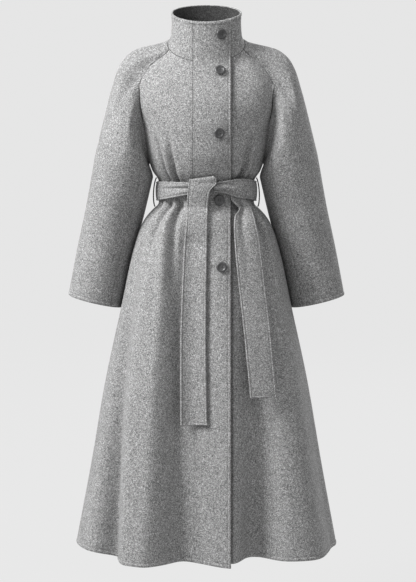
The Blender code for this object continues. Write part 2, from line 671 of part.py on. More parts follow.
def make_buttons():
    for count, (x, z, play) in enumerate(BUTTONS, 1):
        turn, height = place_on_coat(x * MM, z * MM)
        base, out = with_normals(coat, turn, height, 0.05, 0.0004)
        right = np.cross((0.0, 0.0, 1.0), out)
        right = right / np.linalg.norm(right)
        up = np.cross(out, right)
        seat = play * MM
        for k in range(BUTTON_SIDES):
            swing = 2.0 * math.pi * k / BUTTON_SIDES
            flat = right * math.cos(swing) + up * math.sin(swing)
            spot = base + flat * BUTTON_SECTION[2][0] * MM
            near = coat(*place_on_coat(spot[0], spot[2]))
            seat = max(seat, float(np.dot(near - base, out)) + play * MM)
        vertices = []
        faces = []
        for radius, rise in BUTTON_SECTION:
            for k in range(BUTTON_SIDES if radius > 0.0 else 1):
                swing = 2.0 * math.pi * k / BUTTON_SIDES
                flat = right * math.cos(swing) + up * math.sin(swing)
                vertices.append(base + flat * radius * MM + out * (seat + rise * MM))
        last = len(vertices) - 1
        for k in range(BUTTON_SIDES):
            after = (k + 1) % BUTTON_SIDES
            faces.append((0, 1 + after, 1 + k))
            for ring in range(len(BUTTON_SECTION) - 3):
                a = 1 + ring * BUTTON_SIDES
                b = a + BUTTON_SIDES
                faces.append((a + k, a + after, b + after, b + k))
            a = 1 + (len(BUTTON_SECTION) - 3) * BUTTON_SIDES
            faces.append((a + k, a + after, last))
        solid("button_%d" % count, vertices, faces, HORN_COLOUR, 0.4)


make_body()
make_placket()
make_collar()
make_sleeves()
make_band()
make_tails()
make_loops()
make_buttons()
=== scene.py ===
"""Looks of the belted wool coat: fine cloth walls, creases, topstitching, buttons and studio.

Metres, +Z up, the front faces -Y. The cloth repeats the formulas of the part's solids on a finer grid.
"""

import math

import bpy
import numpy as np
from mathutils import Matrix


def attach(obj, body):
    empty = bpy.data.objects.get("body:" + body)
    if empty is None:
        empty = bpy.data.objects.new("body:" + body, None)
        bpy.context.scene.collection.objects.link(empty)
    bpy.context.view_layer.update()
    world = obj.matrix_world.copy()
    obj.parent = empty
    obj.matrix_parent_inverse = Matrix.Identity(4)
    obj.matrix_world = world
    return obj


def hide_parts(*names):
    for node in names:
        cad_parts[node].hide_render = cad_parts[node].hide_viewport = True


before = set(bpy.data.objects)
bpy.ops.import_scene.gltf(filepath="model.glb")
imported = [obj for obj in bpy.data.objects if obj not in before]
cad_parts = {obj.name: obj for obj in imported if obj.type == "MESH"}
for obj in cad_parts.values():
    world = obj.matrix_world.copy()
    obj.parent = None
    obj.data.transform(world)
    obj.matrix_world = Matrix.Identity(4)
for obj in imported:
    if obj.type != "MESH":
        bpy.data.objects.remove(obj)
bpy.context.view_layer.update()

MM = 0.001

# Cloth
COAT_CLOTH = 2.5 * MM
PLACKET_CLOTH = 3.5 * MM
COLLAR_CLOTH = 4.5 * MM
BELT_CLOTH = 4.0 * MM
SEAM_GAP = 0.3 * MM
LAP_GAP = 3.5 * MM

# Main heights
COLLAR_TOP = 0.0715
NECK_SEAM = -0.008
UNDERARM = -0.305
WAIST_SEAM = -0.374
HEM = -1.272

# Placket, measured across the front; beside its lap the left front dips into a narrow slot
PLACKET_LINE = -32.6 * MM
LAP_EDGE = 61.0 * MM
UNDER_LAP = 6.0 * MM
LAP_FADE_TURN = 30.0
LAP_SLOT = 5.0 * MM
LAP_SLOT_REACH = 5.0 * MM

# Coat rings: height, half width, front depth, back depth (mm), tilt toward the front
COAT = (
    (COLLAR_TOP, 87.0, 72.0, 56.0, 0.34),
    (0.0450, 86.0, 71.0, 56.0, 0.39),
    (0.0150, 88.0, 72.0, 58.0, 0.48),
    (NECK_SEAM, 96.0, 75.0, 62.0, 0.57),
    (-0.0500, 150.0, 93.0, 88.0, 0.42),
    (-0.1000, 178.0, 112.0, 103.0, 0.22),
    (-0.1500, 175.0, 127.0, 110.0, 0.10),
    (-0.2100, 160.5, 133.0, 110.0, 0.03),
    (-0.2700, 150.0, 130.0, 105.0, 0.00),
    (-0.3200, 135.0, 113.0, 97.0, 0.00),
    (-0.3460, 119.5, 97.0, 89.0, 0.00),
    (-0.3740, 118.0, 95.0, 88.0, 0.00),
    (-0.4020, 119.5, 97.0, 89.0, 0.00),
    (-0.4180, 135.0, 106.0, 97.0, 0.00),
    (-0.4340, 149.0, 115.0, 108.0, 0.00),
    (-0.4590, 164.0, 125.0, 120.0, 0.00),
    (-0.5170, 183.0, 136.0, 138.0, 0.00),
    (-0.6600, 214.0, 154.0, 164.0, 0.00),
    (-0.8480, 255.0, 180.0, 194.0, 0.00),
    (-1.0700, 294.0, 206.0, 222.0, 0.00),
    (HEM, 332.0, 228.0, 246.0, 0.00),
)

# Raglan seams: height, turn of the front seam, turn of the back seam (degrees from the front)
RAGLAN = (
    (NECK_SEAM, 75.0, 128.0),
    (-0.050, 70.5, 112.0),
    (-0.100, 67.5, 110.0),
    (-0.150, 69.0, 110.0),
    (-0.210, 73.0, 106.0),
    (-0.270, 79.0, 99.0),
    (UNDERARM, 90.0, 90.0),
)

# Folds: front it is on, top height, top turn, foot height, foot turn, top and foot width (degrees),
# top and foot depth (mm, outward), length over which it starts and ends, width of its +X side to the other
FOLDS = (
    ("right", -0.42, -50.0, HEM, -32.5, 10.0, 6.5, 2.0, 52.0, 0.10, 0.00, 2.1),
    ("right", -0.42, -70.0, HEM, -49.0, 8.0, 7.5, 0.0, -46.0, 0.10, 0.00, 0.8),
    ("right", -0.42, -12.0, HEM, -5.5, 13.0, 8.0, -20.0, -36.0, 0.08, 0.00, 1.5),
    ("left", -0.42, 2.0, HEM, 0.0, 13.0, 7.5, -18.0, -36.0, 0.08, 0.00, 1.0),
    ("left", -0.45, 42.0, HEM, 26.0, 8.0, 8.5, -2.0, -54.0, 0.10, 0.00, 0.75),
    ("left", -0.42, 58.0, HEM, 50.0, 10.0, 12.0, 0.0, 30.0, 0.10, 0.00, 1.0),
    ("left", -0.60, 80.0, HEM, 76.0, 7.0, 7.0, 0.0, -6.0, 0.10, 0.00, 1.0),
    ("both", -0.22, -44.0, -0.42, -36.0, 5.0, 5.0, -2.0, -9.0, 0.06, 0.03, 1.0),
    ("both", -0.23, -61.0, -0.42, -49.0, 5.0, 5.0, -1.0, -7.0, 0.06, 0.03, 1.0),
    ("both", -0.28, -79.0, -0.42, -70.0, 5.0, 5.0, -1.0, -4.0, 0.04, 0.03, 1.0),
    ("both", -0.22, 49.0, -0.42, 42.0, 5.0, 5.0, -2.0, -8.0, 0.06, 0.03, 1.0),
    ("both", -0.27, 66.0, -0.42, 54.0, 5.0, 5.0, -1.0, -6.0, 0.05, 0.03, 1.0),
    ("both", -0.31, 78.0, -0.42, 72.0, 5.0, 5.0, -1.0, -4.0, 0.03, 0.03, 1.0),
    ("both", -0.38, -32.0, -0.90, -18.0, 5.0, 4.0, -9.0, -6.0, 0.03, 0.40, 1.0),
    ("both", -0.38, -51.0, -0.66, -46.0, 5.0, 4.0, -7.0, -2.0, 0.03, 0.20, 1.0),
    ("both", -0.38, -72.0, -0.66, -66.0, 5.0, 4.0, -5.0, -1.0, 0.03, 0.20, 1.0),
    ("both", -0.38, 54.0, -0.72, 48.0, 5.0, 4.0, -8.0, -3.0, 0.03, 0.25, 1.0),
    ("both", -0.38, 72.0, -0.66, 66.0, 5.0, 4.0, -6.0, -1.0, 0.03, 0.20, 1.0),
    ("both", -0.25, 122.0, -0.80, 126.0, 8.0, 6.0, -6.0, -8.0, 0.08, 0.25, 1.0),
    ("both", -0.25, 156.0, -0.80, 154.0, 8.0, 6.0, -6.0, -8.0, 0.08, 0.25, 1.0),
    ("both", -0.25, 204.0, -0.80, 206.0, 8.0, 6.0, -6.0, -8.0, 0.08, 0.25, 1.0),
    ("both", -0.25, 238.0, -0.80, 234.0, 8.0, 6.0, -6.0, -8.0, 0.08, 0.25, 1.0),
    ("both", -0.50, 128.0, HEM, 126.0, 12.0, 12.0, 0.0, 24.0, 0.10, 0.00, 1.0),
    ("both", -0.50, 164.0, HEM, 162.0, 12.0, 12.0, 0.0, 20.0, 0.10, 0.00, 1.0),
    ("both", -0.50, 232.0, HEM, 234.0, 12.0, 12.0, 0.0, 24.0, 0.10, 0.00, 1.0),
    ("both", -0.50, 196.0, HEM, 198.0, 12.0, 12.0, 0.0, 20.0, 0.10, 0.00, 1.0),
)
# Creases of the cloth alone, in the same columns: gathers at the belt, the rolls between them and deeper
# folds of the skirt; right_cloth is on the right front's cloth and the placket, not on what lies on them
CREASES = (
    ("both", -0.205, -36.0, -0.352, -36.0, 3.6, 3.0, -6.0, -16.0, 0.06, 0.012, 0.7),
    ("both", -0.225, -44.0, -0.350, -41.8, 3.4, 2.8, 3.0, 8.0, 0.05, 0.020, 1.0),
    ("both", -0.205, -53.0, -0.352, -48.0, 3.4, 2.8, -6.0, -15.0, 0.06, 0.012, 0.7),
    ("both", -0.250, -61.0, -0.350, -54.5, 3.0, 2.6, 1.0, 5.0, 0.05, 0.020, 1.0),
    ("both", -0.290, -30.0, -0.350, -29.5, 3.0, 2.6, 1.0, 5.0, 0.04, 0.020, 1.0),
    ("both", -0.205, 47.0, -0.352, 44.5, 3.6, 3.0, -6.0, -16.0, 0.06, 0.012, 0.7),
    ("both", -0.240, 51.5, -0.350, 49.5, 2.8, 2.4, 2.0, 6.0, 0.05, 0.020, 1.0),
    ("both", -0.265, 61.0, -0.352, 54.5, 3.0, 2.6, -4.0, -13.0, 0.03, 0.012, 0.7),
    ("both", -0.310, 67.0, -0.352, 63.0, 2.6, 2.4, -1.0, -7.0, 0.03, 0.012, 1.0),
    ("both", -0.386, -34.0, -0.70, -21.0, 3.2, 3.0, -11.0, -3.0, 0.02, 0.24, 1.0),
    ("both", -0.386, -41.0, -0.64, -32.0, 3.6, 3.8, 6.0, 3.0, 0.02, 0.18, 1.0),
    ("both", -0.386, -52.0, -0.60, -46.0, 3.0, 2.8, -9.0, -2.0, 0.02, 0.16, 1.0),
    ("both", -0.386, -61.0, -0.58, -57.0, 2.8, 2.8, 4.0, 1.0, 0.02, 0.12, 1.0),
    ("both", -0.386, 57.0, -0.60, 54.0, 2.8, 2.8, -13.0, -3.0, 0.02, 0.14, 1.0),
    ("both", -0.386, 66.0, -0.56, 62.0, 2.8, 2.8, 6.0, 1.0, 0.02, 0.12, 1.0),
    ("right_cloth", -0.41, -22.0, HEM, -12.5, 5.5, 5.0, -9.0, -25.0, 0.06, 0.00, 1.0),
    ("right_cloth", -0.43, -34.0, HEM, -24.0, 4.5, 4.0, 4.0, 10.0, 0.10, 0.00, 1.0),
    ("right_cloth", -0.80, -62.0, HEM, -53.0, 6.0, 5.0, 0.0, -16.0, 0.20, 0.00, 1.0),
    ("left", -0.60, 25.0, HEM, 20.5, 6.0, 5.5, -4.0, -20.0, 0.20, 0.00, 1.0),
)

# Hang of the right front's and the back's hem below its level, over the skirt's lowest stretch:
# turn, drop (mm)
HEM_STRETCH = 0.27
HEM_HANG = (
    (-180.0, 0.0),
    (-105.0, 0.0),
    (-80.0, -7.0),
    (-62.0, -5.0),
    (-48.0, 13.0),
    (-38.0, -5.0),
    (-26.0, -2.0),
    (-10.0, 1.0),
    (12.0, 10.0),
    (60.0, 0.0),
    (180.0, 0.0),
)

# Sleeve rings past the arm's top: station, outer x, outer z, inner x, inner z, middle y, half depth (mm)
SLEEVE = (
    (1.00, -278.0, -281.0, -134.0, -340.0, 8.0, 84.0),
    (1.40, -303.0, -412.0, -157.0, -435.0, 26.0, 77.0),
    (1.70, -326.0, -515.0, -190.0, -553.0, 38.0, 71.0),
    (2.00, -350.0, -637.0, -214.0, -669.0, 40.0, 64.0),
)
# Crown of the shoulder: station, x, y, z (mm)
CROWN = (
    (0.00, -96.0, 8.0, -8.0),
    (0.16, -130.0, 6.0, -10.0),
    (0.32, -170.0, 4.0, -18.0),
    (0.46, -200.0, 2.0, -37.0),
    (0.60, -219.0, 0.0, -66.0),
    (0.78, -238.0, 2.0, -125.0),
    (1.00, -278.0, 8.0, -281.0),
)
# Way the sleeve leaves the armhole: angle round the sleeve, direction x, y, z, reach (mm)
SLEEVE_START = (
    (0.0, -1.00, 0.00, -0.15, 330.0),
    (26.0, -0.95, 0.08, -0.30, 290.0),
    (58.0, -0.88, 0.20, -0.44, 200.0),
    (80.0, -0.74, -0.30, -0.46, 190.0),
    (100.0, -0.60, -0.70, -0.38, 190.0),
    (128.0, -0.60, -0.60, -0.53, 130.0),
    (180.0, -0.45, 0.00, -0.90, 30.0),
)
NECK_ANGLE = 26.0
SLEEVE_SEAM_ANGLE = 127.0
SLEEVE_SEAM_GAP = 0.2
# Drag hollows on the sleeve: station, angle, station width, angle width, depth (mm)
SLEEVE_HOLLOWS = (
    (0.50, 66.0, 0.28, 22.0, 4.0),
    (1.40, 110.0, 0.10, 30.0, -3.0),
)

# Belt ring at the waist (mm) and the band's edges: turn, top z, bottom z, distance off the coat (mm)
WAIST_RING = (119.5, 97.0, 89.0)
BAND = (
    (8.0, -343.0, -367.0, 8.5),
    (20.0, -340.0, -371.0, 8.5),
    (40.0, -335.5, -384.0, 8.5),
    (62.0, -340.0, -390.0, 5.0),
    (90.0, -346.0, -397.0, 1.2),
    (140.0, -345.0, -400.0, 1.2),
    (220.0, -345.0, -400.0, 1.2),
    (270.0, -348.0, -396.0, 1.2),
    (300.0, -344.0, -390.0, 3.5),
    (332.0, -343.0, -378.0, 7.5),
    (346.0, -344.0, -372.0, 8.0),
)
# Creases of the band near the knot: first turn, last turn, share down its width at both, width of the
# crease as a share, depth at both (mm, outward)
BAND_CREASES = (
    (286.0, 350.0, 0.40, 0.44, 0.07, -0.4, -5.5),
    (286.0, 350.0, 0.20, 0.20, 0.13, 0.6, 2.6),
    (300.0, 350.0, 0.74, 0.72, 0.16, 0.2, 2.2),
    (6.0, 58.0, 0.46, 0.74, 0.13, 3.0, 1.0),
    (6.0, 52.0, 0.78, 0.97, 0.09, -4.5, -0.6),
    (6.0, 48.0, 0.20, 0.42, 0.10, -4.0, -0.6),
)
BAND_PUFF = 2.4 * MM

# Front tail, over the band: z, left x, right x, distance of its face off the coat, rise to the right (mm)
TAIL_FRONT = (
    (-374.0, -36.0, 14.0, 1.2, 0.0),
    (-362.0, -37.0, 15.0, 1.2, 3.0),
    (-348.0, -37.0, 16.0, 1.8, 7.0),
    (-340.0, -37.0, 17.0, 4.0, 9.0),
    (-336.0, -37.5, 17.5, 8.0, 9.0),
    (-336.0, -38.0, 19.0, 13.0, 7.0),
    (-340.0, -38.5, 23.0, 18.0, 4.0),
    (-348.0, -39.0, 22.0, 20.0, 2.0),
    (-362.0, -40.0, 10.0, 22.0, 1.0),
    (-378.0, -41.5, 5.5, 21.0, 0.0),
    (-395.0, -43.0, 4.5, 17.0, 0.0),
    (-415.0, -45.0, 3.5, 12.5, 0.0),
    (-440.0, -47.5, 2.8, 9.0, 0.0),
    (-475.0, -50.5, 2.0, 9.0, 0.0),
    (-540.0, -54.5, 0.8, 9.5, 0.0),
    (-620.0, -58.0, -0.5, 10.0, 0.0),
    (-740.0, -61.5, -1.0, 10.0, 0.0),
    (-840.0, -61.5, 0.0, 10.0, 0.0),
    (-936.0, -61.0, 2.0, 10.0, 2.0),
)
# Side tail, from behind the band: z, left x, right x, distance of its face off the coat, depth of its pleat,
# lift of its right edge (mm)
TAIL_SIDE = (
    (-366.0, 56.0, 84.0, 7.0, 0.0, 0.0),
    (-386.0, 58.0, 90.0, 9.0, 3.0, 0.0),
    (-398.0, 66.0, 94.0, 13.0, 8.0, 1.0),
    (-408.0, 73.0, 98.0, 15.0, 9.5, 3.0),
    (-417.0, 69.0, 101.0, 15.0, 9.5, 5.0),
    (-428.0, 64.0, 105.0, 14.0, 8.5, 7.0),
    (-450.0, 63.5, 110.0, 12.5, 6.5, 10.0),
    (-480.0, 65.5, 116.5, 10.0, 4.0, 13.0),
    (-530.0, 70.0, 124.0, 7.6, 2.0, 15.0),
    (-611.0, 79.0, 134.5, 6.8, 0.6, 15.0),
    (-700.0, 88.5, 144.5, 8.0, 0.0, 15.0),
    (-780.0, 96.5, 153.0, 8.0, 0.0, 14.0),
    (-867.0, 105.0, 162.0, 8.0, 0.0, 13.0),
)

# Pleat of the side tail, as shares of its width
PLEAT_MIDDLE = 0.42
PLEAT_WIDTH = 0.17

# Belt loops at the side seams
LOOP_TOP = -0.3385
LOOP_FOOT = -0.4105
LOOP_WIDTH = 3.6 * MM
LOOP_CLOTH = 3.0 * MM
LOOP_BULGE = 6.2 * MM
LOOP_ROWS = 60
LOOP_SIDES = 20
LOOP_RIB = 0.10
LOOP_STRANDS = 3.0
LOOP_TURNS = 20.0

# Buttons: x and z of the middle on the placket, play between its back and the cloth (mm)
BUTTONS = (
    (36.0, 16.7, 1.6),
    (33.0, -73.1, 1.8),
    (30.6, -222.4, 1.6),
    (31.0, -388.0, 1.8),
    (37.6, -549.0, 1.6),
)
BUTTON_SEAT = 12.6 * MM
BUTTON_SIDES = 72
# Button section from the middle of its back to its face: radius, height (mm)
BUTTON_SECTION = (
    (0.0, 0.0), (7.0, 0.0), (9.2, 0.5), (11.0, 1.3), (12.4, 2.2), (13.0, 3.0), (12.8, 3.6), (12.2, 4.2),
    (11.3, 4.8), (10.3, 5.15), (9.4, 5.2), (8.6, 5.0), (7.9, 4.5), (7.3, 4.0), (6.6, 3.75), (5.5, 3.65),
    (0.0, 3.6),
)
HOLE_SPREAD = 1.9 * MM
HOLE_RADIUS = 1.15 * MM
HOLE_SIDES = 20
DRILL_FOOT = -1.0
DRILL_TOP = 6.0
# Thread between the holes: its level above the button's back and its arch (mm)
SEWING_LEVEL = 3.6
SEWING_ARCH = 0.55
# Buttonhole: half its length, half the distance of its two edges, height of the stitches on the cloth
SLIT_LENGTH = 15.5 * MM
SLIT_WIDTH = 1.1 * MM
SLIT_RISE = 0.1 * MM

# Seams, edges and topstitching
SEAM_DIP = 1.1 * MM
SEAM_REACH = 1.6 * MM
STITCH_GROOVE = 0.8 * MM
STITCH_REACH = 1.3 * MM
EDGE_PUFF = 0.9 * MM
LAP_STITCH = 7.5 * MM
LINE_STITCH = 3.0 * MM
HEM_STITCH = 10.0 * MM
COLLAR_STITCH = 10.0 * MM
BELT_STITCH = 5.2 * MM
BELT_LINE = 7
CUFF_STITCH = 10.0 * MM
# Stitches: length, spacing, width and height of the thread (mm)
TOP_THREAD = (3.6, 4.8, 0.9, 0.8)
BUTTON_THREAD = (1.6, 0.6, 0.8, 0.7)
SLIT_THREAD = (1.6, 1.1, 1.1, 0.9)
# Side seams lie flat where sleeve and body meet; the placket's seam fades below the belt
ARMPIT_TOP = -0.19
ARMPIT_FOOT = -0.36
ARMPIT_FADE = 0.04
LINE_FOOT = -0.46
LINE_FADE = 0.10
LINE_LEAST = 0.1
# Distances from an edge at which the cloth's grid has a line (mm)
EDGE_LINES = (0.0, 0.35, 0.8, 1.3, 1.9, 2.4, 3.0, 3.8, 5.2, 6.3, 7.5, 8.7, 10.0, 11.3, 13.0)

# Photo's frame in pixels and the distance of the camera's image plane in pixels
FRAME_TALL = 582.0
LENS_PIXELS = 1920.0
CAMERA_PLACE = (0.004, -4.8, -0.053)
CAMERA_DOWN = 6.78
SENSOR = 36.0

# Studio floor and the bend of its backdrop (mm)
FLOOR = -1500.0
FLOOR_FLAT = 5500.0
FLOOR_BEND = 2500.0
FLOOR_TOP = 7000.0
FLOOR_SIDES = 96
# Lights: name, place, aim, width, height (m), power (W)
LIGHTS = (
    ("key", (-3.1, -1.50, 2.3), (0.0, 0.0, -0.4), 1.5, 1.9, 385.0),
    ("top", (0.2, -1.2, 2.3), (0.0, 0.0, -0.4), 2.4, 1.6, 10.0),
    ("back", (1.4, 3.4, 1.5), (0.0, 0.0, -0.5), 2.2, 2.4, 150.0),
)

# Steps over which a surface's slope is taken: turn (degrees) and height
TURN_STEP = 0.05
HEIGHT_STEP = 0.0004


def smooth(table, column, at):
    """Smooth value of one column of a table, its first column being the place along it."""
    rows = sorted(table)
    place = np.array([row[0] for row in rows])
    value = np.array([row[column] for row in rows])
    step = np.diff(place)
    rise = np.diff(value) / step
    slope = np.zeros(len(value))
    slope[0] = rise[0]
    slope[-1] = rise[-1]
    for k in range(1, len(value) - 1):
        if rise[k - 1] * rise[k] > 0.0:
            before = 2.0 * step[k] + step[k - 1]
            after = step[k] + 2.0 * step[k - 1]
            slope[k] = (before + after) / (before / rise[k - 1] + after / rise[k])
    at = np.asarray(at, float)
    k = np.clip(np.searchsorted(place, at) - 1, 0, len(step) - 1)
    t = (at - place[k]) / step[k]
    return (value[k] * (1 + 2 * t) * (1 - t) ** 2 + step[k] * slope[k] * t * (1 - t) ** 2
            + value[k + 1] * t * t * (3 - 2 * t) + step[k] * slope[k + 1] * t * t * (t - 1))


def ease(t):
    t = np.clip(t, 0.0, 1.0)
    return t * t * (3.0 - 2.0 * t)


def wrapped(angle):
    """The same angle between -180 and 180 degrees."""
    return (angle + 180.0) % 360.0 - 180.0


def folds(turn, height, front):
    """Outward push of the folds and creases at the turns and heights given."""
    push = np.zeros(np.broadcast(turn, height).shape)
    if front == "plain":
        return push
    kinds = ("both", front, front.replace("_cloth", ""))
    for fold in FOLDS + CREASES:
        side, top, top_turn, foot, foot_turn, top_wide, foot_wide = fold[:7]
        top_deep, foot_deep, start, end, skew = fold[7:]
        if side not in kinds:
            continue
        along = np.clip((top - height) / (top - foot), 0.0, 1.0)
        middle = top_turn + (foot_turn - top_turn) * along
        wide = top_wide + (foot_wide - top_wide) * along
        deep = (top_deep + (foot_deep - top_deep) * along) * MM
        deep = deep * ease((top - height) / start)
        if end > 0.0:
            deep = deep * ease((height - foot) / end)
        away = wrapped(turn - middle)
        wide = np.where(away > 0.0, wide * skew, wide)
        push = push + deep * np.exp(-((away / wide) ** 2))
    return push


def ring(turn, height, front):
    """Outer face of the coat's body and collar with the folds of one front."""
    half = smooth(COAT, 1, height) * MM
    ahead = smooth(COAT, 2, height) * MM
    behind = smooth(COAT, 3, height) * MM
    tilt = smooth(COAT, 4, height)
    s = np.sin(np.radians(turn))
    c = np.cos(np.radians(turn))
    deep = np.where(c > 0.0, ahead, behind)
    length = np.hypot(s / half, c / deep)
    push = folds(turn, height, front)
    x = half * s + push * s / half / length
    y = -deep * c - push * c / deep / length
    low = ease((HEM + HEM_STRETCH - height) / HEM_STRETCH)
    hang = 0.0 if front == "left" else smooth(HEM_HANG, 1, wrapped(turn)) * MM * low
    return np.stack([x, y, height + tilt * y - hang], axis=-1)


def coat(turn, height, front="right"):
    """Outer face of the coat; the left front steps in beneath the placket."""
    turn, height = np.broadcast_arrays(np.asarray(turn, float), np.asarray(height, float))
    if front != "left":
        return ring(turn, height, front)
    points, out = with_normals(lambda u, v: ring(u, v, front), turn, height)
    half = smooth(COAT, 1, height) * MM
    lap = np.degrees(np.arcsin(LAP_EDGE / half))
    beside = np.radians(turn - lap) * np.sqrt(half ** 2 - LAP_EDGE ** 2)
    slot = LAP_SLOT * np.exp(-((beside / LAP_SLOT_REACH) ** 2))
    under = 1.0 - ease((turn - lap - 2.0) / LAP_FADE_TURN)
    drop = (PLACKET_CLOTH + LAP_GAP) * np.where(turn < 180.0, under, 0.0) + slot
    return points - out * drop[..., None]


def turn_at(x, height):
    """Turn of the coat's ring where it lies at x, on the front."""
    return np.degrees(np.arcsin(np.clip(np.asarray(x) / (smooth(COAT, 1, height) * MM), -1.0, 1.0)))


def place_on_coat(x, z, front="right"):
    """Turn and height of the outer face at x and z, on the front."""
    x, z = np.broadcast_arrays(np.asarray(x, float), np.asarray(z, float))
    height = np.array(z)
    aim = np.array(x)
    for _ in range(12):
        turn = turn_at(aim, height)
        found = coat(turn, height, front)
        aim = aim + (x - found[..., 0])
        height = height + (z - found[..., 2])
    return turn, height


def unit(way):
    """The same directions at length one."""
    return way / np.linalg.norm(way, axis=-1, keepdims=True)


def with_normals(surface, turn, height):
    """Points of a surface and their outward normals."""
    across = surface(turn + TURN_STEP, height) - surface(turn - TURN_STEP, height)
    along = surface(turn, height + HEIGHT_STEP) - surface(turn, height - HEIGHT_STEP)
    return surface(turn, height), unit(np.cross(across, along))


def coat_normals(turn, height, front="right"):
    """Points of the coat's outer face and their outward normals."""
    return with_normals(lambda u, v: coat(u, v, front), turn, height)


def grid_normals(points):
    """Normals of a grid of points whose columns run to the right and rows run down."""
    return unit(np.cross(np.gradient(points, axis=1), -np.gradient(points, axis=0)))


def raglan_turn(heights, column):
    """Turn of a raglan seam, and of the side seam below the arm."""
    heights = np.asarray(heights)
    return np.where(heights < UNDERARM, 90.0, smooth(RAGLAN, column, np.maximum(heights, UNDERARM)))


def run_along(points, axis):
    """Length along a grid of points from its first row or column."""
    step = np.linalg.norm(np.diff(points, axis=axis), axis=-1)
    first = np.zeros_like(np.take(step, [0], axis=axis))
    return np.concatenate([first, np.cumsum(step, axis=axis)], axis=axis)


def edge_drop(away, kind, cloth, stitch, strength):
    """How far the cloth's face lies below its plain height, by the distance from one edge."""
    drop = np.zeros_like(away)
    if kind == "seam":
        drop = drop + SEAM_DIP * strength * np.exp(-((away / SEAM_REACH) ** 2))
    if kind == "free":
        bend = 0.46 * cloth
        inside = np.clip(bend - away, 0.0, bend)
        drop = drop + bend - np.sqrt(bend * bend - inside * inside)
    if stitch > 0.0:
        drop = drop + STITCH_GROOVE * strength * np.exp(-(((away - stitch) / STITCH_REACH) ** 2))
        puff = np.clip(away / stitch, 0.0, 1.0)
        drop = drop - EDGE_PUFF * strength * np.sin(math.pi * puff) ** 2
    return drop


def cloth_wall(points, normals, cloth, edges, inward=None):
    """Outer and inner grids of a cloth wall with its seams pressed in and its edges rounded and stitched.

    edges gives, for left, right, top and foot: kind, stitch distance, strength.
    """
    across = run_along(points, 1)
    down = run_along(points, 0)
    away = {"left": across, "right": across[:, -1:] - across, "top": down, "foot": down[-1:, :] - down}
    face = np.zeros(across.shape)
    inner_side = np.zeros(across.shape)
    for side, (kind, stitch, strength) in edges.items():
        face = face + edge_drop(away[side], kind, cloth, stitch, strength)
        if kind == "free":
            inner_side = inner_side + edge_drop(away[side], kind, cloth, 0.0, 1.0)
    least = 0.04 * cloth
    face = np.minimum(face, 0.5 * cloth - least)
    inner_side = np.minimum(inner_side, 0.5 * cloth - least)
    if inward is None:
        inward = -normals * cloth
    return points - normals * face[..., None], points + inward * (1.0 - inner_side[..., None] / cloth)


def line_spread(length, middle):
    """Places along a length: lines close to both ends and even ones between."""
    edge = np.array(EDGE_LINES) * MM
    between = np.linspace(edge[-1], length - edge[-1], middle + 2)[1:-1]
    return np.concatenate([edge, between, length - edge[::-1]])


def panel_grid(left, right, heights, middle, front):
    """Turns of a panel's grid, its columns at even lengths along each row."""
    share = np.linspace(0.0, 1.0, 120)
    sample = left[:, None] + (right - left)[:, None] * share
    points = ring(sample, heights[:, None], front)
    length = run_along(points, 1)
    turns = [np.interp(line_spread(run[-1], middle), run, row) for run, row in zip(length, sample)]
    return np.array(turns)


def linked(name, data):
    """A new object in the scene that holds the data given."""
    made = bpy.data.objects.new(name, data)
    bpy.context.scene.collection.objects.link(made)
    return made


def plain_piece(name, vertices, faces, finish):
    """A named mesh at the origin with smooth faces."""
    mesh = bpy.data.meshes.new(name)
    mesh.from_pydata(vertices, [], faces)
    mesh.update()
    mesh.shade_smooth()
    mesh.materials.append(finish)
    return linked(name, mesh)


def mesh_piece(name, vertices, faces, finish):
    """A closed piece whose faces look outward."""
    vertices = np.asarray(vertices, float)
    fans = [(face[0], face[k], face[k + 1]) for face in faces for k in range(1, len(face) - 1)]
    corner = vertices[np.array(fans)]
    if np.sum(corner[:, 0] * np.cross(corner[:, 1], corner[:, 2])) < 0.0:
        faces = [tuple(reversed(face)) for face in faces]
    return plain_piece(name, vertices.tolist(), faces, finish)


def ring_faces(rings):
    """Faces between rings of vertex numbers; a ring that repeats one number closes an end."""
    faces = []
    for below, above in zip(rings, rings[1:]):
        for k in range(len(below)):
            after = (k + 1) % len(below)
            faces.append(tuple(dict.fromkeys((below[k], below[after], above[after], above[k]))))
    return faces


def wall_piece(name, outer, inner, finish, inside=None):
    """A closed wall between two grids of points.

    inside, when given, puts the darker wool that paints shade on the inner faces; the rows it gives at the
    top and the foot keep the outer finish on their inner face, a turned-in edge.
    """
    rows, columns = outer.shape[:2]
    vertices = np.concatenate([outer.reshape(-1, 3), inner.reshape(-1, 3)])
    index = np.arange(rows * columns).reshape(rows, columns)
    a, b = index[:-1, :-1].ravel(), index[:-1, 1:].ravel()
    c, d = index[1:, 1:].ravel(), index[1:, :-1].ravel()
    shift = rows * columns
    faces = np.stack([a, b, c, d], axis=1).tolist()
    faces += np.stack([d + shift, c + shift, b + shift, a + shift], axis=1).tolist()
    edge = np.concatenate([index[0, :], index[1:, -1], index[-1, -2::-1], index[-2:0:-1, 0]])
    after = np.roll(edge, -1)
    faces += np.stack([after, edge, edge + shift, after + shift], axis=1).tolist()
    piece = mesh_piece(name, vertices, faces, finish)
    if inside:
        # Second finish: the wool drawn much darker, painted shade on the inner faces.
        piece.data.materials.append(inner_side)
        first = (rows - 1 + inside[0]) * (columns - 1)
        last = (2 * rows - 2 - inside[1]) * (columns - 1)
        for face in piece.data.polygons[first:last]:
            face.material_index = 1
    return piece


# Finishes
def colour(code):
    """Linear colour of an sRGB hex value."""
    parts = [int(code[k:k + 2], 16) / 255.0 for k in (1, 3, 5)]
    linear = [c / 12.92 if c <= 0.04045 else ((c + 0.055) / 1.055) ** 2.4 for c in parts]
    return (*linear, 1.0)


def fill(tree, made, inputs):
    """Sets a node's values and links."""
    for name, value in inputs.items():
        if isinstance(value, bpy.types.NodeSocket):
            tree.links.new(value, made.inputs[name])
        else:
            made.inputs[name].default_value = value


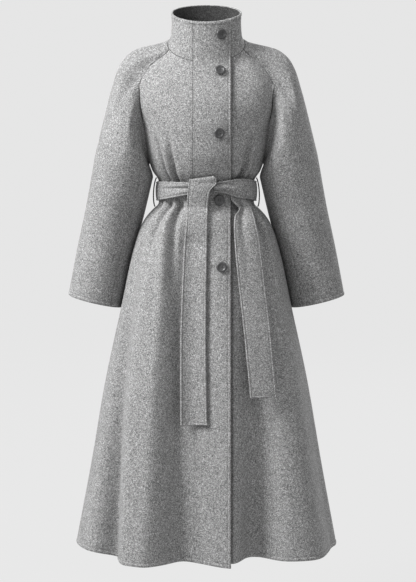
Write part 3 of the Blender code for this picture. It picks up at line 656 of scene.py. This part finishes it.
def node(tree, kind, settings, inputs):
    """Adds a node with its settings, its values and its links."""
    made = tree.nodes.new(kind)
    for name, value in settings.items():
        setattr(made, name, value)
    fill(tree, made, inputs)
    return made


def new_finish(name):
    """A material, its nodes, its shader and the place on the object."""
    made = bpy.data.materials.new(name)
    made.use_nodes = True
    tree = made.node_tree
    return made, tree, tree.nodes["Principled BSDF"], tree.nodes.new("ShaderNodeTexCoord").outputs["Object"]


def noise(tree, place, size, detail, **more):
    """Level of a noise whose clumps have the size given (mm)."""
    inputs = {"Vector": place, "Scale": 1.0 / (size * MM), "Detail": detail, **more}
    return node(tree, "ShaderNodeTexNoise", {}, inputs).outputs[0]


def blend(tree, level, share, base):
    """A share of one level added to another."""
    inputs = {0: level, 1: share, 2: base}
    return node(tree, "ShaderNodeMath", {"operation": "MULTIPLY_ADD"}, inputs).outputs[0]


def shades(tree, level, dark, light, first=0.0, last=1.0):
    """Ramp from a dark to a light colour along a level."""
    ramp = node(tree, "ShaderNodeValToRGB", {}, {"Fac": level})
    stops = ramp.color_ramp.elements
    stops[0].position = first
    stops[0].color = colour(dark)
    stops[1].position = last
    stops[1].color = colour(light)
    return ramp


def bumps(tree, level, strength, height):
    """Normal of a surface roughened by a level, its height in mm."""
    inputs = {"Height": level, "Strength": strength, "Distance": height * MM}
    return node(tree, "ShaderNodeBump", {}, inputs).outputs["Normal"]


def wool_finish(name, dark, middle, light):
    """Wool melton: a dense fulled cloth whose mixed light and dark fibres read as a soft matte speckle.

    The fibres are about 0.03 mm thick; their clumps are drawn 2.5 to 6 mm across so that they show.
    """
    made, tree, shader, place = new_finish(name)
    speckle = noise(tree, place, 2.5, 2.0, Roughness=0.6)
    clump = noise(tree, place, 6.0, 2.0)
    mottle = noise(tree, place, 34.0, 2.0)
    mixed = blend(tree, mottle, 0.06, blend(tree, clump, 0.22, speckle))
    level = node(tree, "ShaderNodeMapRange", {}, {"Value": mixed, "From Min": 0.36, "From Max": 0.92})
    ramp = shades(tree, level.outputs[0], dark, light)
    ramp.color_ramp.elements.new(0.5).color = colour(middle)
    nap = noise(tree, place, 2.2, 3.0)
    fill(tree, shader, {"Base Color": ramp.outputs["Color"], "Normal": bumps(tree, nap, 0.45, 0.9),
                        "Roughness": 0.95, "Specular IOR Level": 0.2, "Sheen Weight": 0.03,
                        "Sheen Roughness": 0.5})
    return made


def horn_finish():
    """Cast polyester button in a horn look: cloudy dark grey with a satin face."""
    made, tree, shader, place = new_finish("horn_look_button")
    cloud = noise(tree, place, 6.0, 3.0, Distortion=1.2)
    ramp = shades(tree, cloud, "#232324", "#454546", 0.3, 0.75)
    rough = node(tree, "ShaderNodeMapRange", {}, {"Value": cloud, "To Min": 0.32, "To Max": 0.5})
    fill(tree, shader, {"Base Color": ramp.outputs["Color"], "Roughness": rough.outputs[0], "IOR": 1.54})
    return made


def braid_finish():
    """Braided cotton loop, drawn near black: matte strands that cross, seen as a fine slanting rib."""
    made, tree, shader, place = new_finish("loop_braid")
    strand = node(tree, "ShaderNodeTexWave", {"bands_direction": "DIAGONAL"},
                  {"Vector": place, "Scale": 1.0 / (9.0 * MM), "Distortion": 1.5}).outputs["Fac"]
    ramp = shades(tree, strand, "#0c0c0d", "#1c1c1e")
    fill(tree, shader, {"Base Color": ramp.outputs["Color"], "Normal": bumps(tree, strand, 0.6, 0.5),
                        "Roughness": 0.9, "Specular IOR Level": 0.1})
    return made


def thread_finish():
    """Spun polyester thread: twisted grey strands close to the wool's middle tone, with a dull lustre."""
    made, tree, shader, place = new_finish("sewing_thread")
    ramp = shades(tree, noise(tree, place, 1.5, 2.0), "#565656", "#787878")
    fill(tree, shader, {"Base Color": ramp.outputs["Color"], "Roughness": 0.7})
    return made


wool = wool_finish("wool_melton", "#282828", "#777777", "#b6b6b6")
# The same wool much darker, for the inner faces of the body and the collar: painted shade inside the coat.
inner_side = wool_finish("wool_painted_inner_shade", "#161616", "#343434", "#525252")
horn = horn_finish()
braid = braid_finish()
thread = thread_finish()

cloth_pieces = {}
stitch_lines = []


# Cloth of the body
def row_heights(top, foot, step):
    """Heights of a piece's rows: lines close to both ends and even ones between."""
    count = int((top - foot) / step)
    return top - line_spread(top - foot, count)


def half_gap(heights):
    """Half a seam gap, as a turn."""
    return np.degrees(0.5 * SEAM_GAP / (smooth(COAT, 1, heights) * MM))


def line_strength(rows):
    """Strength of the placket's seam by height: full above the belt, faint below it."""
    return (LINE_LEAST + (1.0 - LINE_LEAST) * ease((rows - LINE_FOOT) / LINE_FADE))[:, None]


def coat_wall(name, turn, heights, cloth, front, edges, inside=None):
    """Cloth of one piece of the body; gives its outer grid."""
    height = np.repeat(heights[:, None], turn.shape[1], axis=1)
    points, normals = coat_normals(turn, height, front)
    outer, inner = cloth_wall(points, normals, cloth, edges)
    cloth_pieces[name] = wall_piece(name + "_cloth", outer, inner, wool, inside)
    return outer


def edge_line(distance):
    """Number of the grid's line at a distance from an edge."""
    return EDGE_LINES.index(distance / MM)


def stitch_column(outer, distance, from_right, first, last):
    """A line of stitching down a piece, at one of the grid's lines from its edge."""
    column = edge_line(distance)
    if from_right:
        column = -1 - column
    line = outer[:, column]
    keep = (line[:, 2] <= first) & (line[:, 2] >= last)
    stitch_lines.append(line[keep])


def make_body():
    bodice = row_heights(NECK_SEAM - 0.5 * SEAM_GAP, WAIST_SEAM + 0.5 * SEAM_GAP, 5.0 * MM)
    skirt = row_heights(WAIST_SEAM - 0.5 * SEAM_GAP, HEM, 5.5 * MM)
    seam = ("seam", 0.0, 1.0)
    hem = ("free", HEM_STITCH, 1.0)
    # inside: the inner faces take the painted shade of the darker wool, but the skirt's lowest 20 rows keep
    # the outer finish.
    for rows, foot, inside, names in ((bodice, seam, (0, 0), ("front_right", "front_left", "back")),
                                      (skirt, hem, (0, 20), ("skirt_right", "skirt_left", "skirt_back"))):
        gap = half_gap(rows)
        front_edge = raglan_turn(rows, 1)
        back_edge = raglan_turn(rows, 2)
        shut = 1.0 - ease((ARMPIT_TOP - rows) / ARMPIT_FADE) * ease((rows - ARMPIT_FOOT) / ARMPIT_FADE)
        side = ("seam", 0.0, shut[:, None])
        line = turn_at(PLACKET_LINE - 0.5 * SEAM_GAP, rows)
        turn = panel_grid(-front_edge + gap, line, rows, 64, "right_cloth")
        right = coat_wall(names[0], turn, rows, COAT_CLOTH, "right_cloth",
                          {"left": side, "right": ("seam", 0.0, line_strength(rows)), "top": seam,
                           "foot": foot}, inside)
        turn = panel_grid(turn_at(UNDER_LAP, rows), front_edge - gap, rows, 120, "left")
        left = coat_wall(names[1], turn, rows, COAT_CLOTH, "left",
                         {"left": ("free", 0.0, 1.0), "right": side, "top": seam, "foot": foot}, inside)
        turn = panel_grid(back_edge + gap, 360.0 - back_edge - gap, rows, 80, "back")
        back = coat_wall(names[2], turn, rows, COAT_CLOTH, "back",
                         {"left": side, "right": side, "top": seam, "foot": foot}, inside)
    for outer in (right, left, back):
        stitch_lines.append(outer[-1 - edge_line(HEM_STITCH)])


def make_placket():
    rows = row_heights(COLLAR_TOP, HEM, 6.0 * MM)
    line = turn_at(PLACKET_LINE + 0.5 * SEAM_GAP, rows)
    edge = turn_at(LAP_EDGE, rows)
    turn = panel_grid(line, edge, rows, 36, "right_cloth")
    outer = coat_wall("placket", turn, rows, PLACKET_CLOTH, "right_cloth",
                      {"left": ("seam", LINE_STITCH, line_strength(rows)), "right": ("free", LAP_STITCH, 1.0),
                       "top": ("free", COLLAR_STITCH, 1.0), "foot": ("free", HEM_STITCH, 1.0)})
    stitch_column(outer, LAP_STITCH, True, 0.03, HEM)
    stitch_column(outer, LINE_STITCH, False, 0.03, -0.36)
    stitch_lines.append(outer[edge_line(COLLAR_STITCH), 3:-10])
    stitch_lines.append(outer[-1 - edge_line(HEM_STITCH), 3:-10])


def make_collar():
    rows = row_heights(COLLAR_TOP, NECK_SEAM + 2.0 * SEAM_GAP, 3.0 * MM)
    line = 360.0 + turn_at(PLACKET_LINE - 0.5 * SEAM_GAP, rows)
    turn = panel_grid(turn_at(UNDER_LAP, rows), line, rows, 150, "left")
    # Below its top five rows the collar's inner face takes the painted shade of the darker wool.
    outer = coat_wall("collar", turn, rows, COLLAR_CLOTH, "left",
                      {"left": ("free", 0.0, 1.0), "right": ("seam", 0.0, 1.0),
                       "top": ("free", COLLAR_STITCH, 1.0), "foot": ("seam", 0.0, 1.0)}, (5, 0))
    stitch_lines.append(outer[edge_line(COLLAR_STITCH), 30:-3])


# Sleeves
def armhole(angle):
    """Turn and height on the armhole and the neck's side, by angle round the sleeve (0 on the shoulder)."""
    angle = wrapped(angle)
    share = np.clip((np.abs(angle) - NECK_ANGLE) / (180.0 - NECK_ANGLE), 0.0, 1.0)
    height = NECK_SEAM + (UNDERARM - NECK_SEAM) * share
    front = raglan_turn(height, 1)
    back = raglan_turn(height, 2)
    across = np.clip(0.5 + 0.5 * angle / NECK_ANGLE, 0.0, 1.0)
    turn = np.where(share > 0.0, np.where(angle > 0.0, front, back), back + (front - back) * across)
    return -turn, height


def armhole_point(angle):
    return coat(*armhole(angle), "seam")


def sleeve_ring(station, angle):
    sizes = [smooth(SLEEVE, k, station) * MM for k in range(1, 7)]
    outer_x, outer_z, inner_x, inner_z, middle_y, depth = sizes
    c = np.cos(np.radians(angle))
    s = np.sin(np.radians(angle))
    x = 0.5 * (outer_x + inner_x) + 0.5 * (outer_x - inner_x) * c
    z = 0.5 * (outer_z + inner_z) + 0.5 * (outer_z - inner_z) * c
    return np.stack([x, middle_y - depth * s, z], axis=-1)


def sleeve_start(angle):
    """Direction and reach in which the sleeve leaves the armhole."""
    angle = wrapped(angle)
    size = np.abs(angle)
    side = np.where(angle < 0.0, -1.0, 1.0)
    way = np.stack([smooth(SLEEVE_START, 1, size), side * smooth(SLEEVE_START, 2, size),
                    smooth(SLEEVE_START, 3, size)], axis=-1)
    return unit(way), smooth(SLEEVE_START, 4, size)[..., None] * MM


def shoulder(station, angle):
    """The sleeve's top, from the armhole to the upper arm."""
    way, reach = sleeve_start(angle)
    start = armhole_point(angle) + way * 0.4 * SEAM_GAP
    end = sleeve_ring(np.ones_like(station), angle)
    step = 0.01
    lead = (sleeve_ring(np.full_like(station, 1.0 + step), angle) - end) / step
    lead = unit(lead) * reach * 1.1
    t = station[..., None]
    return (start * (1 + 2 * t) * (1 - t) ** 2 + way * reach * t * (1 - t) ** 2
            + end * t * t * (3 - 2 * t) + lead * t * t * (t - 1))


def sleeve(angle, station):
    """Outer face of the right sleeve (on the -X side); angle 0 is its outside, 90 its front."""
    angle, station = np.broadcast_arrays(np.asarray(angle, float), np.asarray(station, float))
    angle = wrapped(angle)
    up = np.clip(station, 0.0, 1.0)
    top = shoulder(up, angle)
    crown = np.stack([smooth(CROWN, k, up) * MM for k in (1, 2, 3)], axis=-1)
    held = np.clip(np.cos(np.radians(angle)), 0.0, 1.0)[..., None] ** 1.5
    off = crown - shoulder(up, np.zeros_like(angle))
    top = top + off * held * ease(up / 0.12)[..., None]
    points = np.where((station > 1.0)[..., None], sleeve_ring(np.maximum(station, 1.0), angle), top)
    push = np.zeros(station.shape)
    for at, middle, long, wide, deep in SLEEVE_HOLLOWS:
        push = push + deep * MM * np.exp(-((station - at) / long) ** 2 - ((angle - middle) / wide) ** 2)
    push = push * ease(station / 0.12)
    c = np.cos(np.radians(angle))
    aim = np.stack([-c, -np.sin(np.radians(angle)), 0.25 * c], axis=-1)
    return points + aim * push[..., None]


def sleeve_normals(angle, station):
    """Outward normals of the sleeve."""
    near = np.clip(station, 0.004, 1.996)
    across = sleeve(angle + 0.2, near) - sleeve(angle - 0.2, near)
    along = sleeve(angle, near + 0.004) - sleeve(angle, near - 0.004)
    return unit(np.cross(along, across))


def armhole_edge(angle, inward):
    """The sleeve's wall at the armhole, kept on its own side of the seam."""
    seam = armhole_point(angle + 0.2) - armhole_point(angle - 0.2)
    _, out = coat_normals(*armhole(angle), "seam")
    away = unit(np.cross(seam, out))
    way, _ = sleeve_start(angle)
    away = away * np.sign(np.sum(away * way, axis=-1, keepdims=True))
    back = np.minimum(np.sum(inward * away, axis=-1, keepdims=True), 0.0)
    return inward - away * back


def sleeve_wall(name, first, last, middle, mirror):
    """One sewn piece of a sleeve between two angles round it."""
    fine = np.array((0.0, 0.3, 0.7, 1.2, 1.9, 2.8, 4.0, 5.5))
    angles = np.concatenate([first + fine, np.linspace(first + 7.5, last - 7.5, middle), last - fine[::-1]])
    fine = np.array((0.0, 0.0015, 0.0035, 0.006, 0.010, 0.015, 0.021, 0.029))
    cuff = np.array(EDGE_LINES) * MM / 0.36
    stations = np.concatenate([fine, np.linspace(0.04, 2.0 - cuff[-1] - 0.01, 150), 2.0 - cuff[::-1]])
    station = np.repeat(stations[:, None], len(angles), axis=1)
    angle = np.repeat(angles[None, :], len(stations), axis=0)
    points = sleeve(angle, station)
    normals = sleeve_normals(angle, station)
    down = run_along(points, 0)
    inward = -normals * COAT_CLOTH
    near = np.exp(-((down / (3.0 * MM)) ** 2))[..., None]
    inward = inward * (1.0 - near) + armhole_edge(angle, inward) * near
    seam = ("seam", 0.0, 1.0)
    shut = ("seam", 0.0, 1.0 - ease((np.abs(wrapped(angle)) - 112.0) / 20.0))
    outer, inner = cloth_wall(points, normals, COAT_CLOTH, {"left": seam, "right": seam, "top": shut,
                                                            "foot": ("free", CUFF_STITCH, 1.0)}, inward)
    if mirror:
        outer = outer * (-1.0, 1.0, 1.0)
        inner = inner * (-1.0, 1.0, 1.0)
    cloth_pieces[name] = wall_piece(name + "_cloth", outer, inner, wool)
    stitch_lines.append(outer[-1 - edge_line(CUFF_STITCH)])


def make_sleeves():
    edge = SLEEVE_SEAM_ANGLE - SLEEVE_SEAM_GAP
    low = SLEEVE_SEAM_ANGLE + SLEEVE_SEAM_GAP
    for side, mirror in (("right", False), ("left", True)):
        sleeve_wall("sleeve_" + side + "_top", -edge, edge, 84, mirror)
        sleeve_wall("sleeve_" + side + "_under", low, 360.0 - low, 36, mirror)


# Belt
def band_point(turn, z, off):
    """Point of the belt's outer face, at a distance off the waist's ring."""
    half, ahead, behind = [size * MM for size in WAIST_RING]
    s = np.sin(np.radians(turn))
    c = np.cos(np.radians(turn))
    deep = np.where(c > 0.0, ahead, behind)
    length = np.hypot(s / half, c / deep)
    return np.stack([half * s + off * s / half / length, -deep * c - off * c / deep / length, z], axis=-1)


def band_creases(turn, share):
    """Outward push of the creases that the knot pulls into the band."""
    push = np.zeros(turn.shape)
    for first, last, first_share, last_share, wide, first_deep, last_deep in BAND_CREASES:
        along = (turn - first) / (last - first)
        if first < 180.0:
            inside = ease((1.0 - along) / 0.4) * (along > -0.1)
        else:
            inside = ease(along / 0.4) * (along < 1.1)
        along = np.clip(along, 0.0, 1.0)
        middle = first_share + (last_share - first_share) * along
        deep = first_deep + (last_deep - first_deep) * along
        push = push + deep * MM * inside * np.exp(-(((share - middle) / wide) ** 2))
    return push


def make_band():
    turn = np.linspace(BAND[0][0], BAND[-1][0], 300)
    share = np.concatenate([np.array((0.0, 0.008, 0.018, 0.032, 0.05, 0.07)), np.linspace(0.095, 0.905, 30),
                            1.0 - np.array((0.07, 0.05, 0.032, 0.018, 0.008, 0.0))])[:, None]
    top = smooth(BAND, 1, turn) * MM
    foot = smooth(BAND, 2, turn) * MM
    off = smooth(BAND, 3, turn) * MM
    turns = np.repeat(turn[None, :], len(share), axis=0)
    z = top + (foot - top) * share
    puff = BAND_PUFF * (1.0 - (2.0 * share - 1.0) ** 2)
    points = band_point(turns, z, off + BELT_CLOTH + puff + band_creases(turns, share + 0.0 * turns))
    edge = ("free", BELT_STITCH, 1.0)
    end = ("free", 0.0, 1.0)
    outer, inner = cloth_wall(points, grid_normals(points), BELT_CLOTH,
                              {"top": edge, "foot": edge, "left": end, "right": end})
    cloth_pieces["belt_band"] = wall_piece("belt_band_cloth", outer, inner, wool)
    for row in (BELT_LINE, -1 - BELT_LINE):
        stitch_lines.append(outer[row])


def off_coat(x, z, lift, front):
    """Points level with the coat's face at x and z, moved out from it."""
    turn, height = place_on_coat(x, z, front)
    base = coat(turn, height, front)
    _, out = coat_normals(turn, height, "plain")
    return base + unit(out * (1.0, 1.0, 0.0)) * lift[..., None]


def tail_rows(table, steps):
    """Rows of a belt tail, smooth along its length."""
    numbered = [(k, *row) for k, row in enumerate(table)]
    at = np.linspace(0.0, len(table) - 1.0, steps)
    end = len(table) - 1.0 - np.array((0.1, 0.08, 0.06, 0.045, 0.03, 0.018, 0.008))
    at = np.unique(np.concatenate([at[at < end[0] - 0.01], end, at[-1:]]))
    return [smooth(numbered, k, at)[:, None] * MM for k in range(1, len(table[0]) + 1)]


def tail_share():
    """Places across a belt tail, close together at its edges."""
    edge = np.array((0.0, 0.006, 0.014, 0.024, 0.036, 0.052, 0.07, 0.088, 0.108))
    return np.concatenate([edge, np.linspace(0.13, 0.87, 26), 1.0 - edge[::-1]])


def tail_wall(name, points):
    edge = ("free", BELT_STITCH, 1.0)
    outer, inner = cloth_wall(points, grid_normals(points), BELT_CLOTH,
                              {"left": edge, "right": edge, "top": ("free", 0.0, 1.0), "foot": edge})
    cloth_pieces[name] = wall_piece(name + "_cloth", outer, inner, wool)
    return outer


def make_tails():
    share = tail_share()
    z, left, right, lift, rise = tail_rows(TAIL_FRONT, 260)
    x = left + (right - left) * share
    outer = tail_wall("belt_tail_front", off_coat(x, z + rise * share, lift + 0.0 * x, "right"))
    for column in (BELT_LINE, -1 - BELT_LINE):
        stitch_lines.append(outer[100:-4, column])
    z, left, right, lift, pleat, tilt = tail_rows(TAIL_SIDE, 200)
    x = left + (right - left) * share
    lift = lift - pleat * np.exp(-((share - PLEAT_MIDDLE) / PLEAT_WIDTH) ** 2) + tilt * share
    outer = tail_wall("belt_tail_side", off_coat(x, z + 0.0 * x, lift, "plain"))
    for column in (BELT_LINE, -1 - BELT_LINE):
        stitch_lines.append(outer[60:-4, column])


# Belt loops, buttons and stitching
def make_loops():
    """Braided loops, oval in section, standing off the side seams."""
    share = np.linspace(0.0, 1.0, LOOP_ROWS)
    z = LOOP_TOP + (LOOP_FOOT - LOOP_TOP) * share
    ends = coat(90.0, np.array([LOOP_TOP, LOOP_FOOT]), "seam")[:, 0] + SEAM_GAP + 0.5 * LOOP_CLOTH
    x = ends[0] + (ends[1] - ends[0]) * share + LOOP_BULGE * np.sqrt(np.sin(math.pi * share))
    path = np.stack([x, 0.0 * x, z], axis=-1)
    side = np.array((0.0, 1.0, 0.0))
    out = np.cross(unit(np.gradient(path, axis=0)), side)
    swing = np.linspace(0.0, 2.0 * math.pi, LOOP_SIDES, endpoint=False)
    strand = LOOP_STRANDS * swing[None, :] + 2.0 * LOOP_TURNS * math.pi * share[:, None]
    twist = 1.0 + LOOP_RIB * np.cos(strand)
    tube = (path[:, None, :] + out[:, None, :] * (0.5 * LOOP_CLOTH * twist * np.cos(swing))[..., None]
            + side * (0.5 * LOOP_WIDTH * twist * np.sin(swing))[..., None])
    vertices = np.concatenate([tube.reshape(-1, 3), [tube[0].mean(axis=0)], [tube[-1].mean(axis=0)]])
    index = np.arange(LOOP_ROWS * LOOP_SIDES).reshape(LOOP_ROWS, LOOP_SIDES).tolist()
    first, last = len(vertices) - 2, len(vertices) - 1
    faces = ring_faces([[first] * LOOP_SIDES, *index, [last] * LOOP_SIDES])
    for name, sign in (("right", -1.0), ("left", 1.0)):
        piece = mesh_piece("belt_loop_" + name + "_braid", vertices * (sign, 1.0, 1.0), faces, braid)
        small_pieces["belt_loop_" + name] = piece


def spun(section, sides):
    """Vertices and faces of a section (mm) spun about the Z axis, closed where it meets the axis."""
    vertices = []
    rings = []
    for radius, rise in section:
        if radius == 0.0:
            rings.append([len(vertices)] * sides)
            vertices.append((0.0, 0.0, rise * MM))
            continue
        rings.append(list(range(len(vertices), len(vertices) + sides)))
        for k in range(sides):
            swing = 2.0 * math.pi * k / sides
            vertices.append((radius * MM * math.cos(swing), radius * MM * math.sin(swing), rise * MM))
    return vertices, ring_faces(rings)


def drilled_button():
    """One button at the origin, its back on z 0, with four holes through its dish."""
    vertices, faces = spun(BUTTON_SECTION, BUTTON_SIDES)
    button = mesh_piece("button_blank", vertices, faces, horn)
    drill_vertices = []
    drill_faces = []
    for x, y in ((-1, -1), (1, -1), (1, 1), (-1, 1)):
        radius = HOLE_RADIUS / MM
        rod = ((0.0, DRILL_FOOT), (radius, DRILL_FOOT), (radius, DRILL_TOP), (0.0, DRILL_TOP))
        vertices, faces = spun(rod, HOLE_SIDES)
        first = len(drill_vertices)
        drill_vertices += [(a + x * HOLE_SPREAD, b + y * HOLE_SPREAD, c) for a, b, c in vertices]
        drill_faces += [tuple(first + k for k in face) for face in faces]
    drill = mesh_piece("button_drill", drill_vertices, drill_faces, horn)
    cut = button.modifiers.new("holes", "BOOLEAN")
    cut.operation = "DIFFERENCE"
    cut.solver = "EXACT"
    cut.object = drill
    evaluated = button.evaluated_get(bpy.context.evaluated_depsgraph_get())
    mesh = bpy.data.meshes.new_from_object(evaluated)
    bpy.data.objects.remove(button, do_unlink=True)
    bpy.data.objects.remove(drill, do_unlink=True)
    return mesh


def button_frame(x, z, play):
    """Seat of a button on the placket: its place and its right, up and outward directions."""
    turn, height = place_on_coat(x * MM, z * MM)
    base, out = coat_normals(turn, height)
    right = unit(np.cross((0.0, 0.0, 1.0), out))
    up = np.cross(out, right)
    seat = play * MM
    for k in range(18):
        swing = 2.0 * math.pi * k / 18
        spot = base + (right * math.cos(swing) + up * math.sin(swing)) * BUTTON_SEAT
        near = coat(*place_on_coat(spot[0], spot[2]))
        seat = max(seat, float(np.dot(near - base, out)) + play * MM)
    return base + out * seat, right, up, out


def placed(mesh, name, seat, right, up, out):
    """A copy of a mesh made at the origin, set on a seat with its place in the mesh."""
    copy = mesh.copy()
    copy.name = name
    points = np.array([vertex.co[:] for vertex in copy.vertices])
    points = seat + points[:, :1] * right + points[:, 1:2] * up + points[:, 2:] * out
    copy.vertices.foreach_set("co", points.ravel())
    copy.update()
    return linked(name, copy)


def make_buttons():
    blank = drilled_button()
    for count, (x, z, play) in enumerate(BUTTONS, 1):
        seat, right, up, out = button_frame(x, z, play)
        small_pieces["button_%d" % count] = placed(blank, "button_%d_horn" % count, seat, right, up, out)
        for down in (-1.0, 1.0):
            share = np.linspace(-1.0, 1.0, 9)[:, None]
            level = (SEWING_LEVEL + SEWING_ARCH * np.sqrt(np.clip(1.0 - share ** 2, 0.0, 1.0))) * MM
            line = seat + right * share * HOLE_SPREAD + up * down * HOLE_SPREAD + out * level
            sewing_lines.append(line)
        for side in (-1.0, 1.0):
            across = np.linspace(-1.0, 1.0, 30) * SLIT_LENGTH
            rise = side * SLIT_WIDTH
            turn, height = place_on_coat(x * MM + across, z * MM + rise + 0.0 * across)
            points, normals = coat_normals(turn, height)
            hole_lines.append(points + normals * SLIT_RISE)


STITCH_SIZES = ("Stitch length", "Stitch spacing", "Thread width", "Thread height")


def stitch_tree():
    """A row of stitches along each line of a mesh, with named sizes."""
    tree = bpy.data.node_groups.new("stitch_row", "GeometryNodeTree")
    tree.is_modifier = True
    tree.interface.new_socket("Geometry", in_out="INPUT", socket_type="NodeSocketGeometry")
    for name in STITCH_SIZES:
        tree.interface.new_socket(name, in_out="INPUT", socket_type="NodeSocketFloat")
    tree.interface.new_socket("Thread", in_out="INPUT", socket_type="NodeSocketMaterial")
    tree.interface.new_socket("Geometry", in_out="OUTPUT", socket_type="NodeSocketGeometry")
    given = tree.nodes.new("NodeGroupInput").outputs
    line = node(tree, "GeometryNodeMeshToCurve", {}, {"Mesh": given["Geometry"]})
    even = node(tree, "GeometryNodeResampleCurve", {"mode": "LENGTH"},
                {"Curve": line.outputs[0], "Length": given["Stitch spacing"]})
    bead = node(tree, "GeometryNodeMeshUVSphere", {}, {"Segments": 6, "Rings": 4, "Radius": 0.5})
    size = node(tree, "ShaderNodeCombineXYZ", {}, {"X": given["Stitch length"], "Y": given["Thread width"],
                                                   "Z": given["Thread height"]})
    stitch = node(tree, "GeometryNodeTransform", {}, {"Geometry": bead.outputs["Mesh"],
                                                      "Scale": size.outputs[0]})
    ahead = tree.nodes.new("GeometryNodeInputTangent")
    aim = node(tree, "FunctionNodeAlignRotationToVector", {"axis": "X"}, {"Vector": ahead.outputs[0]})
    rows = node(tree, "GeometryNodeInstanceOnPoints", {}, {"Points": even.outputs[0],
                                                           "Instance": stitch.outputs[0],
                                                           "Rotation": aim.outputs[0]})
    real = node(tree, "GeometryNodeRealizeInstances", {}, {"Geometry": rows.outputs[0]})
    done = node(tree, "GeometryNodeSetMaterial", {}, {"Geometry": real.outputs[0],
                                                      "Material": given["Thread"]})
    node(tree, "NodeGroupOutput", {}, {"Geometry": done.outputs[0]})
    return tree


def stitched(name, lines, tree, sizes):
    """Stitches along lines of points, as one plain mesh."""
    vertices = []
    edges = []
    for line in lines:
        first = len(vertices)
        vertices += [tuple(point) for point in line]
        edges += [(first + k, first + k + 1) for k in range(len(line) - 1)]
    mesh = bpy.data.meshes.new(name + "_lines")
    mesh.from_pydata(vertices, edges, [])
    piece = linked(name, mesh)
    rows = piece.modifiers.new("stitches", "NODES")
    rows.node_group = tree
    values = {"Thread": thread, **{key: size * MM for key, size in zip(STITCH_SIZES, sizes)}}
    for socket in tree.interface.items_tree:
        if socket.in_out == "INPUT" and socket.name in values:
            rows[socket.identifier] = values[socket.name]
    piece.update_tag()
    evaluated = piece.evaluated_get(bpy.context.evaluated_depsgraph_get())
    made = bpy.data.meshes.new_from_object(evaluated)
    piece.modifiers.clear()
    piece.data = made
    made.shade_smooth()
    return piece


small_pieces = {}
sewing_lines = []
hole_lines = []

make_body()
make_placket()
make_collar()
make_sleeves()
make_band()
make_tails()
make_loops()
make_buttons()
row_tree = stitch_tree()
topstitch = stitched("topstitching", stitch_lines, row_tree, TOP_THREAD)
sewing = stitched("button_thread", sewing_lines, row_tree, BUTTON_THREAD)
holes = stitched("buttonhole_stitches", hole_lines, row_tree, SLIT_THREAD)

# Cut of each cloth piece as it shows: width, length and area of the flat cloth (m)
CUTS = {
    "front_right": (0.20, 0.37, 0.056, "hung", ("sleeve_right_top", "collar")),
    "front_left": (0.22, 0.37, 0.065, "hung", ("sleeve_left_top", "collar")),
    "skirt_right": (0.46, 0.92, 0.315, "gathered", ("front_right",)),
    "skirt_left": (0.48, 0.92, 0.32, "gathered", ("front_left",)),
    "placket": (0.13, 1.37, 0.13, "hung", ("front_left",)),
    "back": (0.40, 0.42, 0.142, "hung", ("sleeve_right_top", "sleeve_left_top", "collar")),
    "skirt_back": (0.90, 0.92, 0.64, "gathered", ("back",)),
    "sleeve_right_top": (0.40, 0.72, 0.192, "hung", ("front_right", "back")),
    "sleeve_right_under": (0.20, 0.45, 0.059, "hung", ("front_right", "back")),
    "sleeve_left_top": (0.40, 0.72, 0.192, "hung", ("front_left", "back")),
    "sleeve_left_under": (0.20, 0.45, 0.059, "hung", ("front_left", "back")),
    "collar": (0.49, 0.09, 0.036, "folded", ("front_right", "front_left", "back")),
    "belt_band": (0.06, 0.66, 0.035, "stretched", ("front_right", "front_left", "back")),
    "belt_tail_front": (0.065, 0.70, 0.043, "hung", ("belt_band",)),
    "belt_tail_side": (0.065, 0.53, 0.034, "hung", ("belt_band",)),
}
for name, (wide, long, area, held, rests) in CUTS.items():
    piece = cloth_pieces[name]
    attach(piece, "root")
    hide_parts(name)
for name, piece in small_pieces.items():
    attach(piece, "root")
    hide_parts(name)
for piece in (topstitch, sewing, holes):
    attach(piece, "root")


# Studio
def studio_bowl():
    """Pale floor that curves up into a backdrop all round."""
    section = [(0.0, FLOOR), (3000.0, FLOOR), (FLOOR_FLAT, FLOOR)]
    for k in range(1, 13):
        swing = 0.5 * math.pi * k / 12
        rise = FLOOR_BEND * (1.0 - math.cos(swing))
        section.append((FLOOR_FLAT + FLOOR_BEND * math.sin(swing), FLOOR + rise))
    section.append((FLOOR_FLAT + FLOOR_BEND, FLOOR_TOP))
    vertices, faces = spun(section, FLOOR_SIDES)
    made, tree, shader, _ = new_finish("pale_paper")
    fill(tree, shader, {"Base Color": colour("#202020"), "Roughness": 1.0, "Specular IOR Level": 0.0,
                        "Emission Color": colour("#e5e5e5"), "Emission Strength": 0.99})
    floor = plain_piece("studio_floor", vertices, [face[::-1] for face in faces], made)
    floor.visible_diffuse = False
    floor.visible_glossy = False


def studio_light(name, place, aim, wide, tall, power):
    lamp = bpy.data.lights.new(name, "AREA")
    lamp.shape = "RECTANGLE"
    lamp.size = wide
    lamp.size_y = tall
    lamp.energy = power
    holder = linked(name, lamp)
    holder.location = place
    way = np.array(aim) - np.array(place)
    flat = math.hypot(way[0], way[1])
    holder.rotation_euler = (math.atan2(flat, -way[2]), 0.0, math.atan2(-way[0], way[1]))


def studio_camera():
    lens = bpy.data.cameras.new("camera")
    lens.lens = LENS_PIXELS * SENSOR / FRAME_TALL
    lens.sensor_width = SENSOR
    lens.sensor_fit = "AUTO"
    holder = linked("camera", lens)
    holder.location = CAMERA_PLACE
    holder.rotation_euler = (math.radians(90.0 - CAMERA_DOWN), 0.0, 0.0)
    bpy.context.scene.camera = holder


studio_bowl()
for light in LIGHTS:
    studio_light(*light)
world = bpy.data.worlds.new("studio_air")
world.use_nodes = True
world.node_tree.nodes["Background"].inputs["Color"].default_value = colour("#ffffff")
world.node_tree.nodes["Background"].inputs["Strength"].default_value = 0.75
bpy.context.scene.world = world
bpy.context.scene.view_settings.view_transform = "Standard"
studio_camera()
